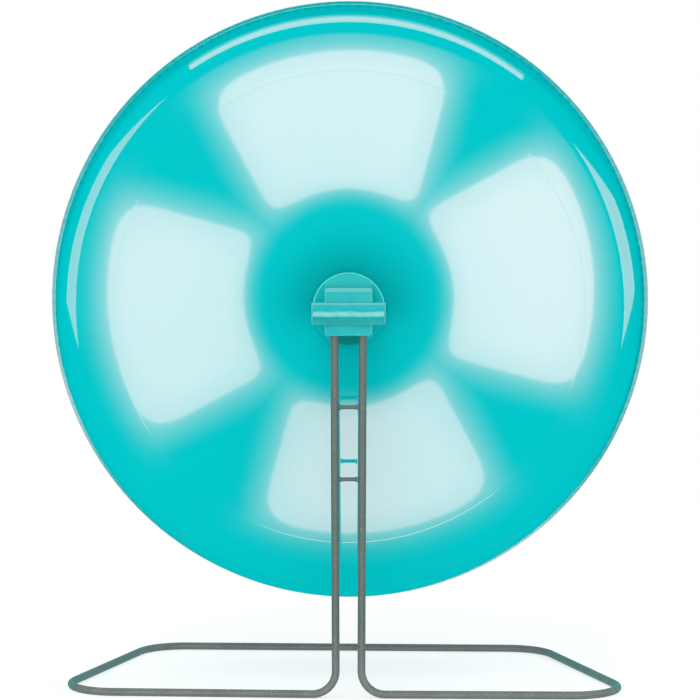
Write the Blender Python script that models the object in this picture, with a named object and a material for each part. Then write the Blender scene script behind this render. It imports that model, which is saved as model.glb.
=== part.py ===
"""Rodent exercise wheel: a moulded dish that spins on a bent wire stand.

Units are metres and +Z is up. The axle runs along +Y, from the bracket in front
of the wheel to the wheel's open side. The origin lies on the floor, under the
middle of the object's outer box. Places along the axle are counted from the
plane of the stand's two uprights, and heights at the hub from the axle.
"""
import math

import bmesh
import bpy
from mathutils import Vector

# Fits and shared values
TOUCH_GAP = 0.0003          # between two pieces that bear on each other
CUT_OVERRUN = 0.0010        # how far a cutter reaches past the face it opens
SHARP_ANGLE = math.radians(35.0)

# Stand wire
WIRE_RADIUS = 0.0020
GRIP_SPACING = 0.0143       # between the uprights' centres at the bracket
FOOT_SPACING = 0.0129       # and at the floor, where they stand closer
FOOT_BEND = 0.0120          # bend at the foot of each upright
CORNER_BEND = 0.0250        # bends at the corners of the base loop
BASE_FRONT_WIDTH = 0.2965   # between the sharp corners of the loop's front
BASE_REAR_WIDTH = 0.2185
BASE_DEPTH = 0.1358
GRIP_DROP = 0.0029          # bent-out wire ends lie this far below the axle
GRIP_BEND = 0.0060
GRIP_REACH = 0.0174         # from the middle to the tip of a bent-out end

# Crossbars
CROSSBAR_RADIUS = 0.0010
CROSSBAR_DROPS = {"crossbar_upper": 0.0490, "crossbar_lower": 0.0854}     # below the axle
WELD_RADIUS = 0.0016
WELD_LENGTH = 0.0009

# Front half of the bracket
BLOCK_WIDTH = 0.0240
BLOCK_RISE = 0.0110         # above the axle
BLOCK_DROP = 0.0131         # below the axle
BLOCK_SKIN = 0.0014         # plastic in front of the wire
BLOCK_CHAMFER = 0.0009
BLOCK_CORNER = 0.0016       # the block's rounded corners
BAR_WIDTH = 0.0374
BAR_RISE = 0.0036
BAR_DROP = 0.0075
BAR_CHAMFER = 0.0005
BAR_STEP = 0.0016           # the bar stands out from the block by this much
BEAD_RADIUS = 0.0023
BEAD_STEP = 0.0012          # the bead stands out from the bar by this much
BEAD_INSET = 0.0002
NOTCH_RADIUS = 0.0009       # in the bar's lower edge
RECESS_WIDTH = 0.0218       # shallow recess under the bead
RECESS_HEIGHT = 0.0020
RECESS_DEPTH = 0.0004

# Rear half of the bracket
FLANGE_RADIUS = 0.0184
FLANGE_THICKNESS = 0.0030
FLANGE_CHAMFER = 0.0005
BRACKET_FLOOR = 0.0034      # plastic behind the axle nut
COLUMN_INSET = 0.0008       # the column's round top lies inside the flange's edge

# Screws of the bracket
SCREW_RADIUS = 0.00145
SCREW_HEAD_RADIUS = 0.0026
SCREW_HEAD_HEIGHT = 0.0017
SCREW_POINT = 0.0010
SCREW_COVER = 0.0010        # plastic left in front of a screw's point
SCREW_EDGE = 0.0034         # upper screws, in from the block's top and sides
SCREW_FOOT_EDGE = 0.0026    # lower screw, up from the block's bottom

# Axle nut and bolt
NUT_FLATS = 0.0130
NUT_THICKNESS = 0.0065
HEAD_THICKNESS = 0.0053
HEAD_CHAMFER = 0.0006
BOLT_CHAMFER = 0.0006

# Ball bearing
BEARING_BORE = 0.0040       # radius
BEARING_RIM = 0.0110        # outer radius
BEARING_WIDTH = 0.0070
BALL_RADIUS = 0.00198
BALL_COUNT = 7
INNER_LAND = 0.00605        # outer radius of the inner ring
OUTER_LAND = 0.00895        # inner radius of the outer ring
SHIELD_THICKNESS = 0.0003
SHIELD_INSET = 0.0003
CAGE_WALL = 0.0012
CAGE_BACK = 0.0028          # from the balls' centres to the cage's closed side
CAGE_FRONT = 0.0009

# Spacers
SPACER_RADIUS = 0.0058
SHIM_THICKNESS = 0.0010

# Wheel
LIP_RADIUS = 0.1650
LIP_STEP = 0.0020           # the lip stands out from the drum by this much
LIP_THICKNESS = 0.0030
LIP_CHAMFER = 0.0006
WIRE_CLEARANCE = 0.0276     # between the base loop's wire and the lip
WHEEL_DEPTH = 0.1190        # from the hub's front face to the lip
WHEEL_WALL = 0.0025
DOME_RADIUS = 0.6000        # ball radius of the domed disc
SHOULDER_BEND = 0.0140
DRUM_DRAFT = math.radians(7.6)
RIB_COUNT = 180             # across the running surface
RIB_HEIGHT = 0.0008
RIB_MARGIN = 0.0050         # ribs fade out over this length at both ends
HUB_FACE_RADIUS = 0.0200
HUB_RUN_GAP = 0.0016        # between the bracket's flange and the hub
HUB_WALL = 0.0030           # round the bearing
HUB_SHOULDER = 0.0015       # in front of the bearing
HUB_REAR_LIP = 0.0015       # the boss reaches past the bearing by this much
HUB_EYE_RADIUS = 0.0080     # hole in the hub's shoulder

# Hub cap
CAP_WALL = 0.0018
CAP_CLEARANCE = 0.0010      # over the bolt's head
CAP_ROUND = 0.0040

# Facets
WHEEL_STEPS = 90
RING_STEPS = 24
WIRE_SIDES = 12
BEND_STEPS = 6
DOME_STEPS = 5
SHOULDER_STEPS = 5
SMALL_STEPS = 4             # arcs of the small pieces
BALL_SIDES = 10
BALL_RINGS = 6

# Places along the axle, from the uprights' plane towards the open side
CLAMP_REAR = WIRE_RADIUS
BLOCK_FRONT = -WIRE_RADIUS - BLOCK_SKIN
BAR_FRONT = BLOCK_FRONT - BAR_STEP
BEAD_FRONT = BAR_FRONT - BEAD_STEP
BRACKET_FRONT = CLAMP_REAR + TOUCH_GAP
NUT_FRONT = BRACKET_FRONT + TOUCH_GAP
NUT_REAR = NUT_FRONT + NUT_THICKNESS
POCKET_REAR = NUT_REAR + TOUCH_GAP
BRACKET_REAR = POCKET_REAR + BRACKET_FLOOR
HUB_FRONT = BRACKET_REAR + HUB_RUN_GAP
SEAT_FRONT = HUB_FRONT + HUB_SHOULDER
BEARING_FRONT = SEAT_FRONT + TOUCH_GAP
BEARING_REAR = BEARING_FRONT + BEARING_WIDTH
BALL_PLANE = (BEARING_FRONT + BEARING_REAR) / 2
HUB_REAR = BEARING_REAR + HUB_REAR_LIP
SHIM_FRONT = BEARING_REAR + TOUCH_GAP
SHIM_REAR = SHIM_FRONT + SHIM_THICKNESS
HEAD_FRONT = SHIM_REAR + TOUCH_GAP
HEAD_REAR = HEAD_FRONT + HEAD_THICKNESS
LIP_REAR = HUB_FRONT + WHEEL_DEPTH

# Sizes that follow
AXLE_HEIGHT = WIRE_RADIUS * 2 + WIRE_CLEARANCE + LIP_RADIUS
BALL_CIRCLE = (INNER_LAND + OUTER_LAND) / 2
RACE_RADIUS = BALL_RADIUS + TOUCH_GAP
AXLE_RADIUS = BEARING_BORE - TOUCH_GAP
NUT_CORNER = NUT_FLATS / 2 / math.cos(math.pi / 6)
BOSS_RADIUS = BEARING_RIM + TOUCH_GAP + HUB_WALL
REAR_REACH = max(LIP_REAR, BASE_DEPTH + WIRE_RADIUS)
UPRIGHT_PLANE = -(REAR_REACH + BEAD_FRONT) / 2

# Finishes: colour, roughness, metallic
FINISHES = {
    "turquoise_plastic": ((0.0, 0.552, 0.577, 1.0), 0.12, 0.0),
    "pale_turquoise_plastic": ((0.05, 0.60, 0.60, 1.0), 0.30, 0.0),
    "grey_wire": ((0.181, 0.188, 0.171, 1.0), 0.35, 0.9),
    "zinc_steel": ((0.55, 0.56, 0.58, 1.0), 0.30, 1.0),
    "bearing_steel": ((0.42, 0.42, 0.44, 1.0), 0.15, 1.0),
    "cage_nylon": ((0.60, 0.55, 0.42, 1.0), 0.45, 0.0),
}


def clear_scene():
    """Removes every object, so the model starts from an empty scene."""
    for item in list(bpy.data.objects):
        bpy.data.objects.remove(item, do_unlink=True)


def add_empty(name, place):
    """Adds an empty that carries pieces; it marks a frame or a joint's axis."""
    empty = bpy.data.objects.new(name, None)
    empty.location = place
    empty.empty_display_size = FLANGE_RADIUS
    bpy.context.collection.objects.link(empty)
    return empty


def paint(piece, finish):
    """Gives the piece its own Principled material in the named finish."""
    colour, roughness, metallic = FINISHES[finish]
    material = bpy.data.materials.new(piece.name + "_" + finish)
    material.use_nodes = True
    shader = material.node_tree.nodes["Principled BSDF"]
    shader.inputs["Base Color"].default_value = colour
    shader.inputs["Roughness"].default_value = roughness
    shader.inputs["Metallic"].default_value = metallic
    material.diffuse_color = colour
    piece.data.materials.append(material)


def add_piece(name, mesh_builder, finish, parent):
    """Turns a finished bmesh into a named, painted object under its parent."""
    bmesh.ops.recalc_face_normals(mesh_builder, faces=mesh_builder.faces)
    mesh = bpy.data.meshes.new(name)
    mesh_builder.to_mesh(mesh)
    mesh_builder.free()
    mesh.shade_smooth()
    mesh.set_sharp_from_angle(angle=SHARP_ANGLE)
    piece = bpy.data.objects.new(name, mesh)
    bpy.context.collection.objects.link(piece)
    piece.parent = parent
    if finish:
        paint(piece, finish)
    return piece


def add_helper(name, mesh_builder, parent):
    """Adds a shape that only cuts or joins another piece."""
    helper = add_piece(name, mesh_builder, None, parent)
    helper.hide_render = True
    helper.display_type = "WIRE"
    return helper


def combine(piece, helper, operation):
    """Adds a Boolean modifier that joins or cuts the piece with the helper."""
    boolean = piece.modifiers.new(operation.lower() + "_" + helper.name, "BOOLEAN")
    boolean.object = helper
    boolean.operation = operation
    boolean.solver = "EXACT"


def ring(builder, radius, along, steps, squeeze=0.0):
    """Adds a circle of points round the Y axis; no radius gives a single point.

    Every second point is drawn in by squeeze, which gives a ribbed ring.
    """
    if radius == 0.0:
        return [builder.verts.new((0.0, along, 0.0))]
    points = []
    for index in range(steps):
        turn = 2 * math.pi * index / steps
        reach = radius - squeeze * (index % 2)
        place = (reach * math.sin(turn), along, reach * math.cos(turn))
        points.append(builder.verts.new(place))
    return points


def skin(builder, first, second):
    """Joins two rings with faces, also where their counts of points differ."""
    a_count, b_count = len(first), len(second)
    if a_count == b_count:
        for index in range(a_count):
            after = (index + 1) % a_count
            builder.faces.new((first[index], first[after], second[after], second[index]))
        return
    a_index, b_index = 0, 0
    a_total = a_count if a_count > 1 else 0
    b_total = b_count if b_count > 1 else 0
    while a_index < a_total or b_index < b_total:
        a_here, b_here = first[a_index % a_count], second[b_index % b_count]
        a_share = (a_index + 1) / a_count if a_index < a_total else 2.0
        b_share = (b_index + 1) / b_count if b_index < b_total else 2.0
        if a_share <= b_share:
            a_index += 1
            builder.faces.new((a_here, first[a_index % a_count], b_here))
        else:
            b_index += 1
            builder.faces.new((a_here, second[b_index % b_count], b_here))


def skin_all(builder, rings, closed):
    """Skins a stack of rings, and the last back to the first where closed."""
    for first, second in zip(rings, rings[1:]):
        skin(builder, first, second)
    if closed:
        skin(builder, rings[-1], rings[0])


def turned(profile, steps):
    """Turns a profile of (radius, along) points round the Y axis.

    A profile that starts and ends on the axis makes a solid body; any other
    one closes on itself and makes a ring.
    """
    builder = bmesh.new()
    rings = [ring(builder, radius, along, steps) for radius, along in profile]
    on_axis = profile[0][0] == 0.0 and profile[-1][0] == 0.0
    skin_all(builder, rings, closed=not on_axis)
    return builder


def extruded(outline, front, rear):
    """Extrudes an outline of (x, z) points along the Y axis."""
    builder = bmesh.new()
    ends = [[builder.verts.new((x, along, z)) for x, z in outline] for along in (front, rear)]
    skin(builder, ends[0], ends[1])
    for end in ends:
        builder.faces.new(end)
    return builder


def rectangle(width, low, high):
    """Outline of an upright rectangle that is centred across the axle."""
    half = width / 2
    return [(-half, low), (half, low), (half, high), (-half, high)]


def arc(centre, radius, start, end, steps):
    """Points of a plane arc, both ends included; angles are in radians."""
    points = []
    for index in range(steps + 1):
        angle = start + (end - start) * index / steps
        points.append((centre[0] + radius * math.cos(angle), centre[1] + radius * math.sin(angle)))
    return points


def rounded_rectangle(width, low, high, corner):
    """Outline of an upright rectangle with rounded corners."""
    across = width / 2 - corner
    above, below = high - corner, low + corner
    centres = [(across, above), (-across, above), (-across, below), (across, below)]
    outline = []
    for quarter, centre in enumerate(centres):
        start = quarter * math.pi / 2
        outline += arc(centre, corner, start, start + math.pi / 2, SMALL_STEPS)
    return outline


def bent_route(corners, bends, steps):
    """Route through the corners, with an arc of the given radius at each bend."""
    route = [Vector(corners[0])]
    for before, corner, after, bend in zip(corners, corners[1:], corners[2:], bends):
        corner = Vector(corner)
        back = (Vector(before) - corner).normalized()
        onward = (Vector(after) - corner).normalized()
        half_angle = back.angle(onward) / 2
        centre = corner + (back + onward).normalized() * bend / math.sin(half_angle)
        start = corner + back * bend / math.tan(half_angle) - centre
        end = corner + onward * bend / math.tan(half_angle) - centre
        sweep_angle = start.angle(end)
        for index in range(steps + 1):
            share = index / steps
            blend = start * math.sin((1 - share) * sweep_angle) + end * math.sin(share * sweep_angle)
            route.append(centre + blend / math.sin(sweep_angle))
    route.append(Vector(corners[-1]))
    return route


def swept(route, section, upright):
    """Sweeps a closed section of (side, depth) points along a route.

    The vector upright is the section's depth direction at the route's start;
    it is carried along the bends without twist.
    """
    builder = bmesh.new()
    rings = []
    depth = Vector(upright)
    for index, place in enumerate(route):
        before = route[max(index - 1, 0)]
        after = route[min(index + 1, len(route) - 1)]
        tangent = (after - before).normalized()
        depth = (depth - tangent * depth.dot(tangent)).normalized()
        side = depth.cross(tangent)
        rings.append([builder.verts.new(place + side * s + depth * d) for s, d in section])
    skin_all(builder, rings, closed=False)
    builder.faces.new(rings[0])
    builder.faces.new(rings[-1])
    return builder


def round_section(radius, sides):
    """Section of a round wire whose flats lie at the given radius."""
    corner = radius / math.cos(math.pi / sides)
    turns = [2 * math.pi * (index + 0.5) / sides for index in range(sides)]
    return [(corner * math.sin(turn), corner * math.cos(turn)) for turn in turns]


def upright_offset(height):
    """Distance from the middle to an upright's centre, at a height above the floor."""
    share = (height - WIRE_RADIUS) / (AXLE_HEIGHT - GRIP_DROP - WIRE_RADIUS)
    return (FOOT_SPACING + (GRIP_SPACING - FOOT_SPACING) * share) / 2


def grip_route(side, margin):
    """Route of one bent-out wire end, from past its tip to below the block."""
    slot_end = -BLOCK_DROP - CUT_OVERRUN
    corners = [
        (side * (GRIP_REACH + margin), 0.0, -GRIP_DROP),
        (side * GRIP_SPACING / 2, 0.0, -GRIP_DROP),
        (side * upright_offset(AXLE_HEIGHT + slot_end), 0.0, slot_end),
    ]
    return bent_route(corners, [GRIP_BEND], BEND_STEPS)


def make_stand_wire(parent):
    """The whole stand: one wire from tip to tip, round the base loop."""
    floor_line = WIRE_RADIUS
    grip_line = AXLE_HEIGHT - GRIP_DROP
    half = [
        (GRIP_REACH, 0.0, grip_line),
        (GRIP_SPACING / 2, 0.0, grip_line),
        (FOOT_SPACING / 2, 0.0, floor_line),
        (BASE_FRONT_WIDTH / 2, 0.0, floor_line),
        (BASE_REAR_WIDTH / 2, BASE_DEPTH, floor_line),
    ]
    other_half = [(-x, y, z) for x, y, z in reversed(half)]
    half_bends = [GRIP_BEND, FOOT_BEND, CORNER_BEND, CORNER_BEND]
    route = bent_route(half + other_half, half_bends + half_bends[::-1], BEND_STEPS)
    section = round_section(WIRE_RADIUS, WIRE_SIDES)
    builder = swept(route, section, (0.0, 1.0, 0.0))
    return add_piece("stand_wire", builder, "grey_wire", parent)


def make_crossbar(name, height, parent):
    """A thin rod between the uprights, with a flared weld at each end."""
    end = upright_offset(height) - WIRE_RADIUS - TOUCH_GAP
    neck = end - WELD_LENGTH
    profile = [
        (0.0, -end),
        (WELD_RADIUS, -end),
        (CROSSBAR_RADIUS, -neck),
        (CROSSBAR_RADIUS, neck),
        (WELD_RADIUS, end),
        (0.0, end),
    ]
    crossbar = add_piece(name, turned(profile, WIRE_SIDES), "grey_wire", parent)
    crossbar.location = (0.0, 0.0, height)
    crossbar.rotation_euler = (0.0, 0.0, math.pi / 2)
    return crossbar


def chamfered_slab(outline, front, rear, chamfer):
    """Extruded outline whose front edges are chamfered."""
    builder = extruded(outline, front, rear)
    front_edges = [e for e in builder.edges if all(abs(v.co.y - front) < TOUCH_GAP for v in e.verts)]
    bmesh.ops.bevel(builder, geom=front_edges, offset=chamfer, segments=1, affect="EDGES")
    return builder


def screw_places():
    """Places (x, z) of the bracket's three screws."""
    across = BLOCK_WIDTH / 2 - SCREW_EDGE
    upper = BLOCK_RISE - SCREW_EDGE
    return [(-across, upper), (across, upper), (0.0, -BLOCK_DROP + SCREW_FOOT_EDGE)]


def make_grip_cutter(parent):
    """Slots for the two bent-out wire ends, open towards the wheel."""
    slot = WIRE_RADIUS + TOUCH_GAP
    open_end = CLAMP_REAR + CUT_OVERRUN
    section = [(slot, open_end)] + arc((0.0, 0.0), slot, 0.0, -math.pi, BEND_STEPS) + [(-slot, open_end)]
    cutters = []
    for side, label in ((-1, "left"), (1, "right")):
        builder = swept(grip_route(side, TOUCH_GAP), section, (0.0, 1.0, 0.0))
        cutters.append(add_helper("grip_cutter_" + label, builder, parent))
    return cutters


def make_wire_clamp(parent):
    """Front half of the bracket: block, cross bar, bead and wire slots."""
    block = rounded_rectangle(BLOCK_WIDTH, -BLOCK_DROP, BLOCK_RISE, BLOCK_CORNER)
    builder = chamfered_slab(block, BLOCK_FRONT, CLAMP_REAR, BLOCK_CHAMFER)
    clamp = add_piece("wire_clamp", builder, "pale_turquoise_plastic", parent)

    bar = rectangle(BAR_WIDTH, -BAR_DROP, BAR_RISE)
    bar = chamfered_slab(bar, BAR_FRONT, CLAMP_REAR - TOUCH_GAP, BAR_CHAMFER)
    combine(clamp, add_helper("clamp_bar", bar, parent), "UNION")

    recess = rectangle(RECESS_WIDTH, -BAR_DROP - CUT_OVERRUN, -BAR_DROP + RECESS_HEIGHT)
    recess = extruded(recess, BAR_FRONT - CUT_OVERRUN, BAR_FRONT + RECESS_DEPTH)
    combine(clamp, add_helper("clamp_recess", recess, parent), "DIFFERENCE")

    bead_end = BAR_WIDTH / 2 - BEAD_INSET
    bead = add_helper("clamp_bead", turned([(0.0, -bead_end), (BEAD_RADIUS, -bead_end),
                                            (BEAD_RADIUS, bead_end), (0.0, bead_end)],
                                           RING_STEPS), parent)
    bead.location = (0.0, BEAD_FRONT + BEAD_RADIUS, -GRIP_DROP)
    bead.rotation_euler = (0.0, 0.0, math.pi / 2)
    combine(clamp, bead, "UNION")

    for cutter in make_grip_cutter(parent):
        combine(clamp, cutter, "DIFFERENCE")

    notch = add_helper("clamp_notch", turned([(0.0, BEAD_FRONT - CUT_OVERRUN),
                                              (NOTCH_RADIUS, BEAD_FRONT - CUT_OVERRUN),
                                              (NOTCH_RADIUS, BLOCK_FRONT - TOUCH_GAP),
                                              (0.0, BLOCK_FRONT - TOUCH_GAP)],
                                             WIRE_SIDES), parent)
    notch.location = (0.0, 0.0, -BAR_DROP)
    combine(clamp, notch, "DIFFERENCE")

    hole = SCREW_RADIUS + TOUCH_GAP
    hole_end = BLOCK_FRONT + SCREW_COVER
    for number, (x, z) in enumerate(screw_places(), 1):
        profile = [(0.0, hole_end), (hole, hole_end), (hole, CLAMP_REAR + CUT_OVERRUN),
                   (0.0, CLAMP_REAR + CUT_OVERRUN)]
        cutter = add_helper("clamp_hole_" + str(number), turned(profile, WIRE_SIDES), parent)
        cutter.location = (x, 0.0, z)
        combine(clamp, cutter, "DIFFERENCE")
    return clamp


def column_outline():
    """Outline of the bracket's column: the block's width, under the flange's arc."""
    half = BLOCK_WIDTH / 2
    radius = FLANGE_RADIUS - COLUMN_INSET
    start = math.acos(half / radius)
    top = arc((0.0, 0.0), radius, start, math.pi - start, BEND_STEPS * 2)
    return [(-half, -BLOCK_DROP), (half, -BLOCK_DROP)] + top


def make_axle_bracket(parent):
    """Rear half of the bracket: round flange, column and nut pocket."""
    flange_front = BRACKET_REAR - FLANGE_THICKNESS
    flange = [
        (0.0, flange_front),
        (FLANGE_RADIUS - FLANGE_CHAMFER, flange_front),
        (FLANGE_RADIUS, flange_front + FLANGE_CHAMFER),
        (FLANGE_RADIUS, BRACKET_REAR),
        (0.0, BRACKET_REAR),
    ]
    bracket = add_piece("axle_bracket", turned(flange, RING_STEPS * 2), "pale_turquoise_plastic", parent)

    column = extruded(column_outline(), BRACKET_FRONT, flange_front + FLANGE_THICKNESS / 2)
    combine(bracket, add_helper("bracket_column", column, parent), "UNION")

    pocket = bmesh.new()
    pocket_corner = NUT_CORNER + TOUCH_GAP
    ends = (BRACKET_FRONT - CUT_OVERRUN, POCKET_REAR)
    rings = [ring(pocket, 0.0, ends[0], 1), ring(pocket, pocket_corner, ends[0], 6),
             ring(pocket, pocket_corner, ends[1], 6), ring(pocket, 0.0, ends[1], 1)]
    skin_all(pocket, rings, closed=False)
    combine(bracket, add_helper("nut_pocket", pocket, parent), "DIFFERENCE")

    hole = AXLE_RADIUS + TOUCH_GAP
    profile = [(0.0, BRACKET_FRONT), (hole, BRACKET_FRONT), (hole, BRACKET_REAR + CUT_OVERRUN),
               (0.0, BRACKET_REAR + CUT_OVERRUN)]
    combine(bracket, add_helper("axle_hole", turned(profile, RING_STEPS), parent), "DIFFERENCE")

    shank = SCREW_RADIUS + TOUCH_GAP
    head = SCREW_HEAD_RADIUS + TOUCH_GAP
    head_seat = BRACKET_REAR - SCREW_HEAD_HEIGHT - TOUCH_GAP * 2
    for number, (x, z) in enumerate(screw_places(), 1):
        profile = [
            (0.0, BRACKET_FRONT - CUT_OVERRUN),
            (shank, BRACKET_FRONT - CUT_OVERRUN),
            (shank, head_seat),
            (head, head_seat),
            (head, BRACKET_REAR + CUT_OVERRUN),
            (0.0, BRACKET_REAR + CUT_OVERRUN),
        ]
        cutter = add_helper("bracket_hole_" + str(number), turned(profile, WIRE_SIDES), parent)
        cutter.location = (x, 0.0, z)
        combine(bracket, cutter, "DIFFERENCE")
    return bracket


def make_clamp_screw(number, place, parent):
    """Pan-head screw, driven from the wheel's side into the front half."""
    head_rear = BRACKET_REAR - TOUCH_GAP
    head_front = head_rear - SCREW_HEAD_HEIGHT
    tip = BLOCK_FRONT + SCREW_COVER + TOUCH_GAP
    profile = [
        (0.0, tip),
        (SCREW_RADIUS / 2, tip),
        (SCREW_RADIUS, tip + SCREW_POINT),
        (SCREW_RADIUS, head_front),
        (SCREW_HEAD_RADIUS, head_front),
        (SCREW_HEAD_RADIUS, head_front + SCREW_HEAD_HEIGHT / 2),
        (SCREW_HEAD_RADIUS * 2 / 3, head_rear),
        (0.0, head_rear),
    ]
    builder = turned(profile, WIRE_SIDES)
    screw = add_piece("clamp_screw_" + str(number), builder, "zinc_steel", parent)
    screw.location = (place[0], 0.0, place[1])
    return screw


def make_axle_nut(parent):
    """Hexagon nut in the bracket's pocket."""
    builder = bmesh.new()
    bore = AXLE_RADIUS + TOUCH_GAP
    rings = [
        ring(builder, NUT_CORNER, NUT_FRONT, 6),
        ring(builder, NUT_CORNER, NUT_REAR, 6),
        ring(builder, bore, NUT_REAR, RING_STEPS),
        ring(builder, bore, NUT_FRONT, RING_STEPS),
    ]
    skin_all(builder, rings, closed=True)
    return add_piece("axle_nut", builder, "zinc_steel", parent)


def make_axle_bolt(parent):
    """Hexagon bolt from inside the wheel; its shank is the still axle."""
    builder = bmesh.new()
    rings = [
        ring(builder, 0.0, HEAD_REAR, 1),
        ring(builder, NUT_CORNER - HEAD_CHAMFER, HEAD_REAR, 6),
        ring(builder, NUT_CORNER, HEAD_REAR - HEAD_CHAMFER, 6),
        ring(builder, NUT_CORNER, HEAD_FRONT, 6),
        ring(builder, AXLE_RADIUS, HEAD_FRONT, RING_STEPS),
        ring(builder, AXLE_RADIUS, NUT_FRONT + BOLT_CHAMFER, RING_STEPS),
        ring(builder, AXLE_RADIUS - BOLT_CHAMFER, NUT_FRONT, RING_STEPS),
        ring(builder, 0.0, NUT_FRONT, 1),
    ]
    skin_all(builder, rings, closed=False)
    return add_piece("axle_bolt", builder, "zinc_steel", parent)


def make_spacer(name, front, rear, parent):
    """Plain collar that bears on the bearing's inner ring only."""
    bore = AXLE_RADIUS + TOUCH_GAP
    profile = [(bore, front), (SPACER_RADIUS, front), (SPACER_RADIUS, rear), (bore, rear)]
    return add_piece(name, turned(profile, RING_STEPS), "zinc_steel", parent)


def race_arc(land, side):
    """Groove of a ring whose land lies outside (side 1) or inside (-1) the balls' circle."""
    dip = math.acos(side * (land - BALL_CIRCLE) / RACE_RADIUS)
    points = arc((0.0, 0.0), RACE_RADIUS, -dip, dip, SMALL_STEPS)
    return [(BALL_CIRCLE + side * reach, BALL_PLANE + along) for reach, along in points]


def make_inner_ring(parent):
    """Inner ring of the bearing, grooved on its outside."""
    profile = [(BEARING_BORE, BEARING_REAR), (BEARING_BORE, BEARING_FRONT), (INNER_LAND, BEARING_FRONT)]
    profile += race_arc(INNER_LAND, -1)
    profile.append((INNER_LAND, BEARING_REAR))
    return add_piece("bearing_inner_ring", turned(profile, RING_STEPS), "bearing_steel", parent)


def make_outer_ring(parent):
    """Outer ring of the bearing, grooved inside, with a step for each shield."""
    step_radius = OUTER_LAND + SHIELD_THICKNESS * 2
    step = SHIELD_INSET + SHIELD_THICKNESS + TOUCH_GAP
    profile = [(BEARING_RIM, BEARING_REAR), (BEARING_RIM, BEARING_FRONT), (step_radius, BEARING_FRONT)]
    profile += [(step_radius, BEARING_FRONT + step), (OUTER_LAND, BEARING_FRONT + step)]
    profile += race_arc(OUTER_LAND, 1)
    profile += [(OUTER_LAND, BEARING_REAR - step), (step_radius, BEARING_REAR - step)]
    profile.append((step_radius, BEARING_REAR))
    return add_piece("bearing_outer_ring", turned(profile, RING_STEPS), "bearing_steel", parent)


def make_shield(name, front, parent):
    """Thin disc that closes one side of the bearing."""
    inner = INNER_LAND + TOUCH_GAP
    outer = OUTER_LAND + SHIELD_THICKNESS * 2 - TOUCH_GAP
    rear = front + SHIELD_THICKNESS
    profile = [(inner, front), (outer, front), (outer, rear), (inner, rear)]
    return add_piece(name, turned(profile, RING_STEPS), "bearing_steel", parent)


def ball_place(number):
    """Centre of one ball; the first ball lies straight above the axle."""
    turn = 2 * math.pi * number / BALL_COUNT
    return Vector((BALL_CIRCLE * math.sin(turn), BALL_PLANE, BALL_CIRCLE * math.cos(turn)))


def make_ball(number, parent):
    """One steel ball of the bearing."""
    builder = bmesh.new()
    bmesh.ops.create_uvsphere(builder, u_segments=BALL_SIDES, v_segments=BALL_RINGS, radius=BALL_RADIUS)
    ball = add_piece("bearing_ball_" + str(number + 1), builder, "bearing_steel", parent)
    ball.location = ball_place(number)
    return ball


def make_cage(parent):
    """Crown cage: a ring with a pocket round each ball, open on one side."""
    half_wall = CAGE_WALL / 2
    front = BALL_PLANE - CAGE_FRONT
    rear = BALL_PLANE + CAGE_BACK
    profile = [
        (BALL_CIRCLE - half_wall, front),
        (BALL_CIRCLE + half_wall, front),
        (BALL_CIRCLE + half_wall, rear),
        (BALL_CIRCLE - half_wall, rear),
    ]
    cage = add_piece("ball_cage", turned(profile, RING_STEPS), "cage_nylon", parent)
    for number in range(BALL_COUNT):
        builder = bmesh.new()
        bmesh.ops.create_uvsphere(builder, u_segments=BALL_SIDES, v_segments=BALL_RINGS, radius=RACE_RADIUS)
        pocket = add_helper("cage_pocket_" + str(number + 1), builder, parent)
        pocket.location = ball_place(number)
        combine(cage, pocket, "DIFFERENCE")
    return cage


def dish_line(inset):
    """Skin line of the dish from the hub to the drum's end, as (radius, along).

    With no inset it is the outer skin; an inset moves it into the wheel. The
    domed disc is an arc about the ball's centre, the drum is a straight line,
    and the shoulder is a bend that touches both.
    """
    sine, cosine = math.sin(DRUM_DRAFT), math.cos(DRUM_DRAFT)
    ball_centre = HUB_FRONT + DOME_RADIUS
    drum_end = (LIP_RADIUS - LIP_STEP, LIP_REAR - LIP_THICKNESS)
    # The bend's centre lies one bend inside the drum's line and one bend inside
    # the ball. It is looked for along the drum, from its rear end, with places
    # along the axle counted from the ball's centre.
    seek = (drum_end[0] - SHOULDER_BEND * cosine, drum_end[1] + SHOULDER_BEND * sine - ball_centre)
    ahead = seek[0] * sine + seek[1] * cosine
    reach = ahead + math.sqrt(ahead ** 2 - seek[0] ** 2 - seek[1] ** 2 + (DOME_RADIUS - SHOULDER_BEND) ** 2)
    bend_centre = (seek[0] - reach * sine, seek[1] - reach * cosine)

    points = []
    hub_turn = math.asin(HUB_FACE_RADIUS / (DOME_RADIUS - inset))
    bend_turn = math.atan2(bend_centre[0], -bend_centre[1])
    for index in range(DOME_STEPS):
        turn = hub_turn + (bend_turn - hub_turn) * index / DOME_STEPS
        points.append(((DOME_RADIUS - inset) * math.sin(turn),
                       ball_centre - (DOME_RADIUS - inset) * math.cos(turn)))
    drum_turn = math.pi / 2 - DRUM_DRAFT
    for index in range(SHOULDER_STEPS + 1):
        turn = bend_turn + (drum_turn - bend_turn) * index / SHOULDER_STEPS
        points.append((bend_centre[0] + (SHOULDER_BEND - inset) * math.sin(turn),
                       ball_centre + bend_centre[1] - (SHOULDER_BEND - inset) * math.cos(turn)))
    points.append((drum_end[0] - inset / cosine, drum_end[1]))
    return points


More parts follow.
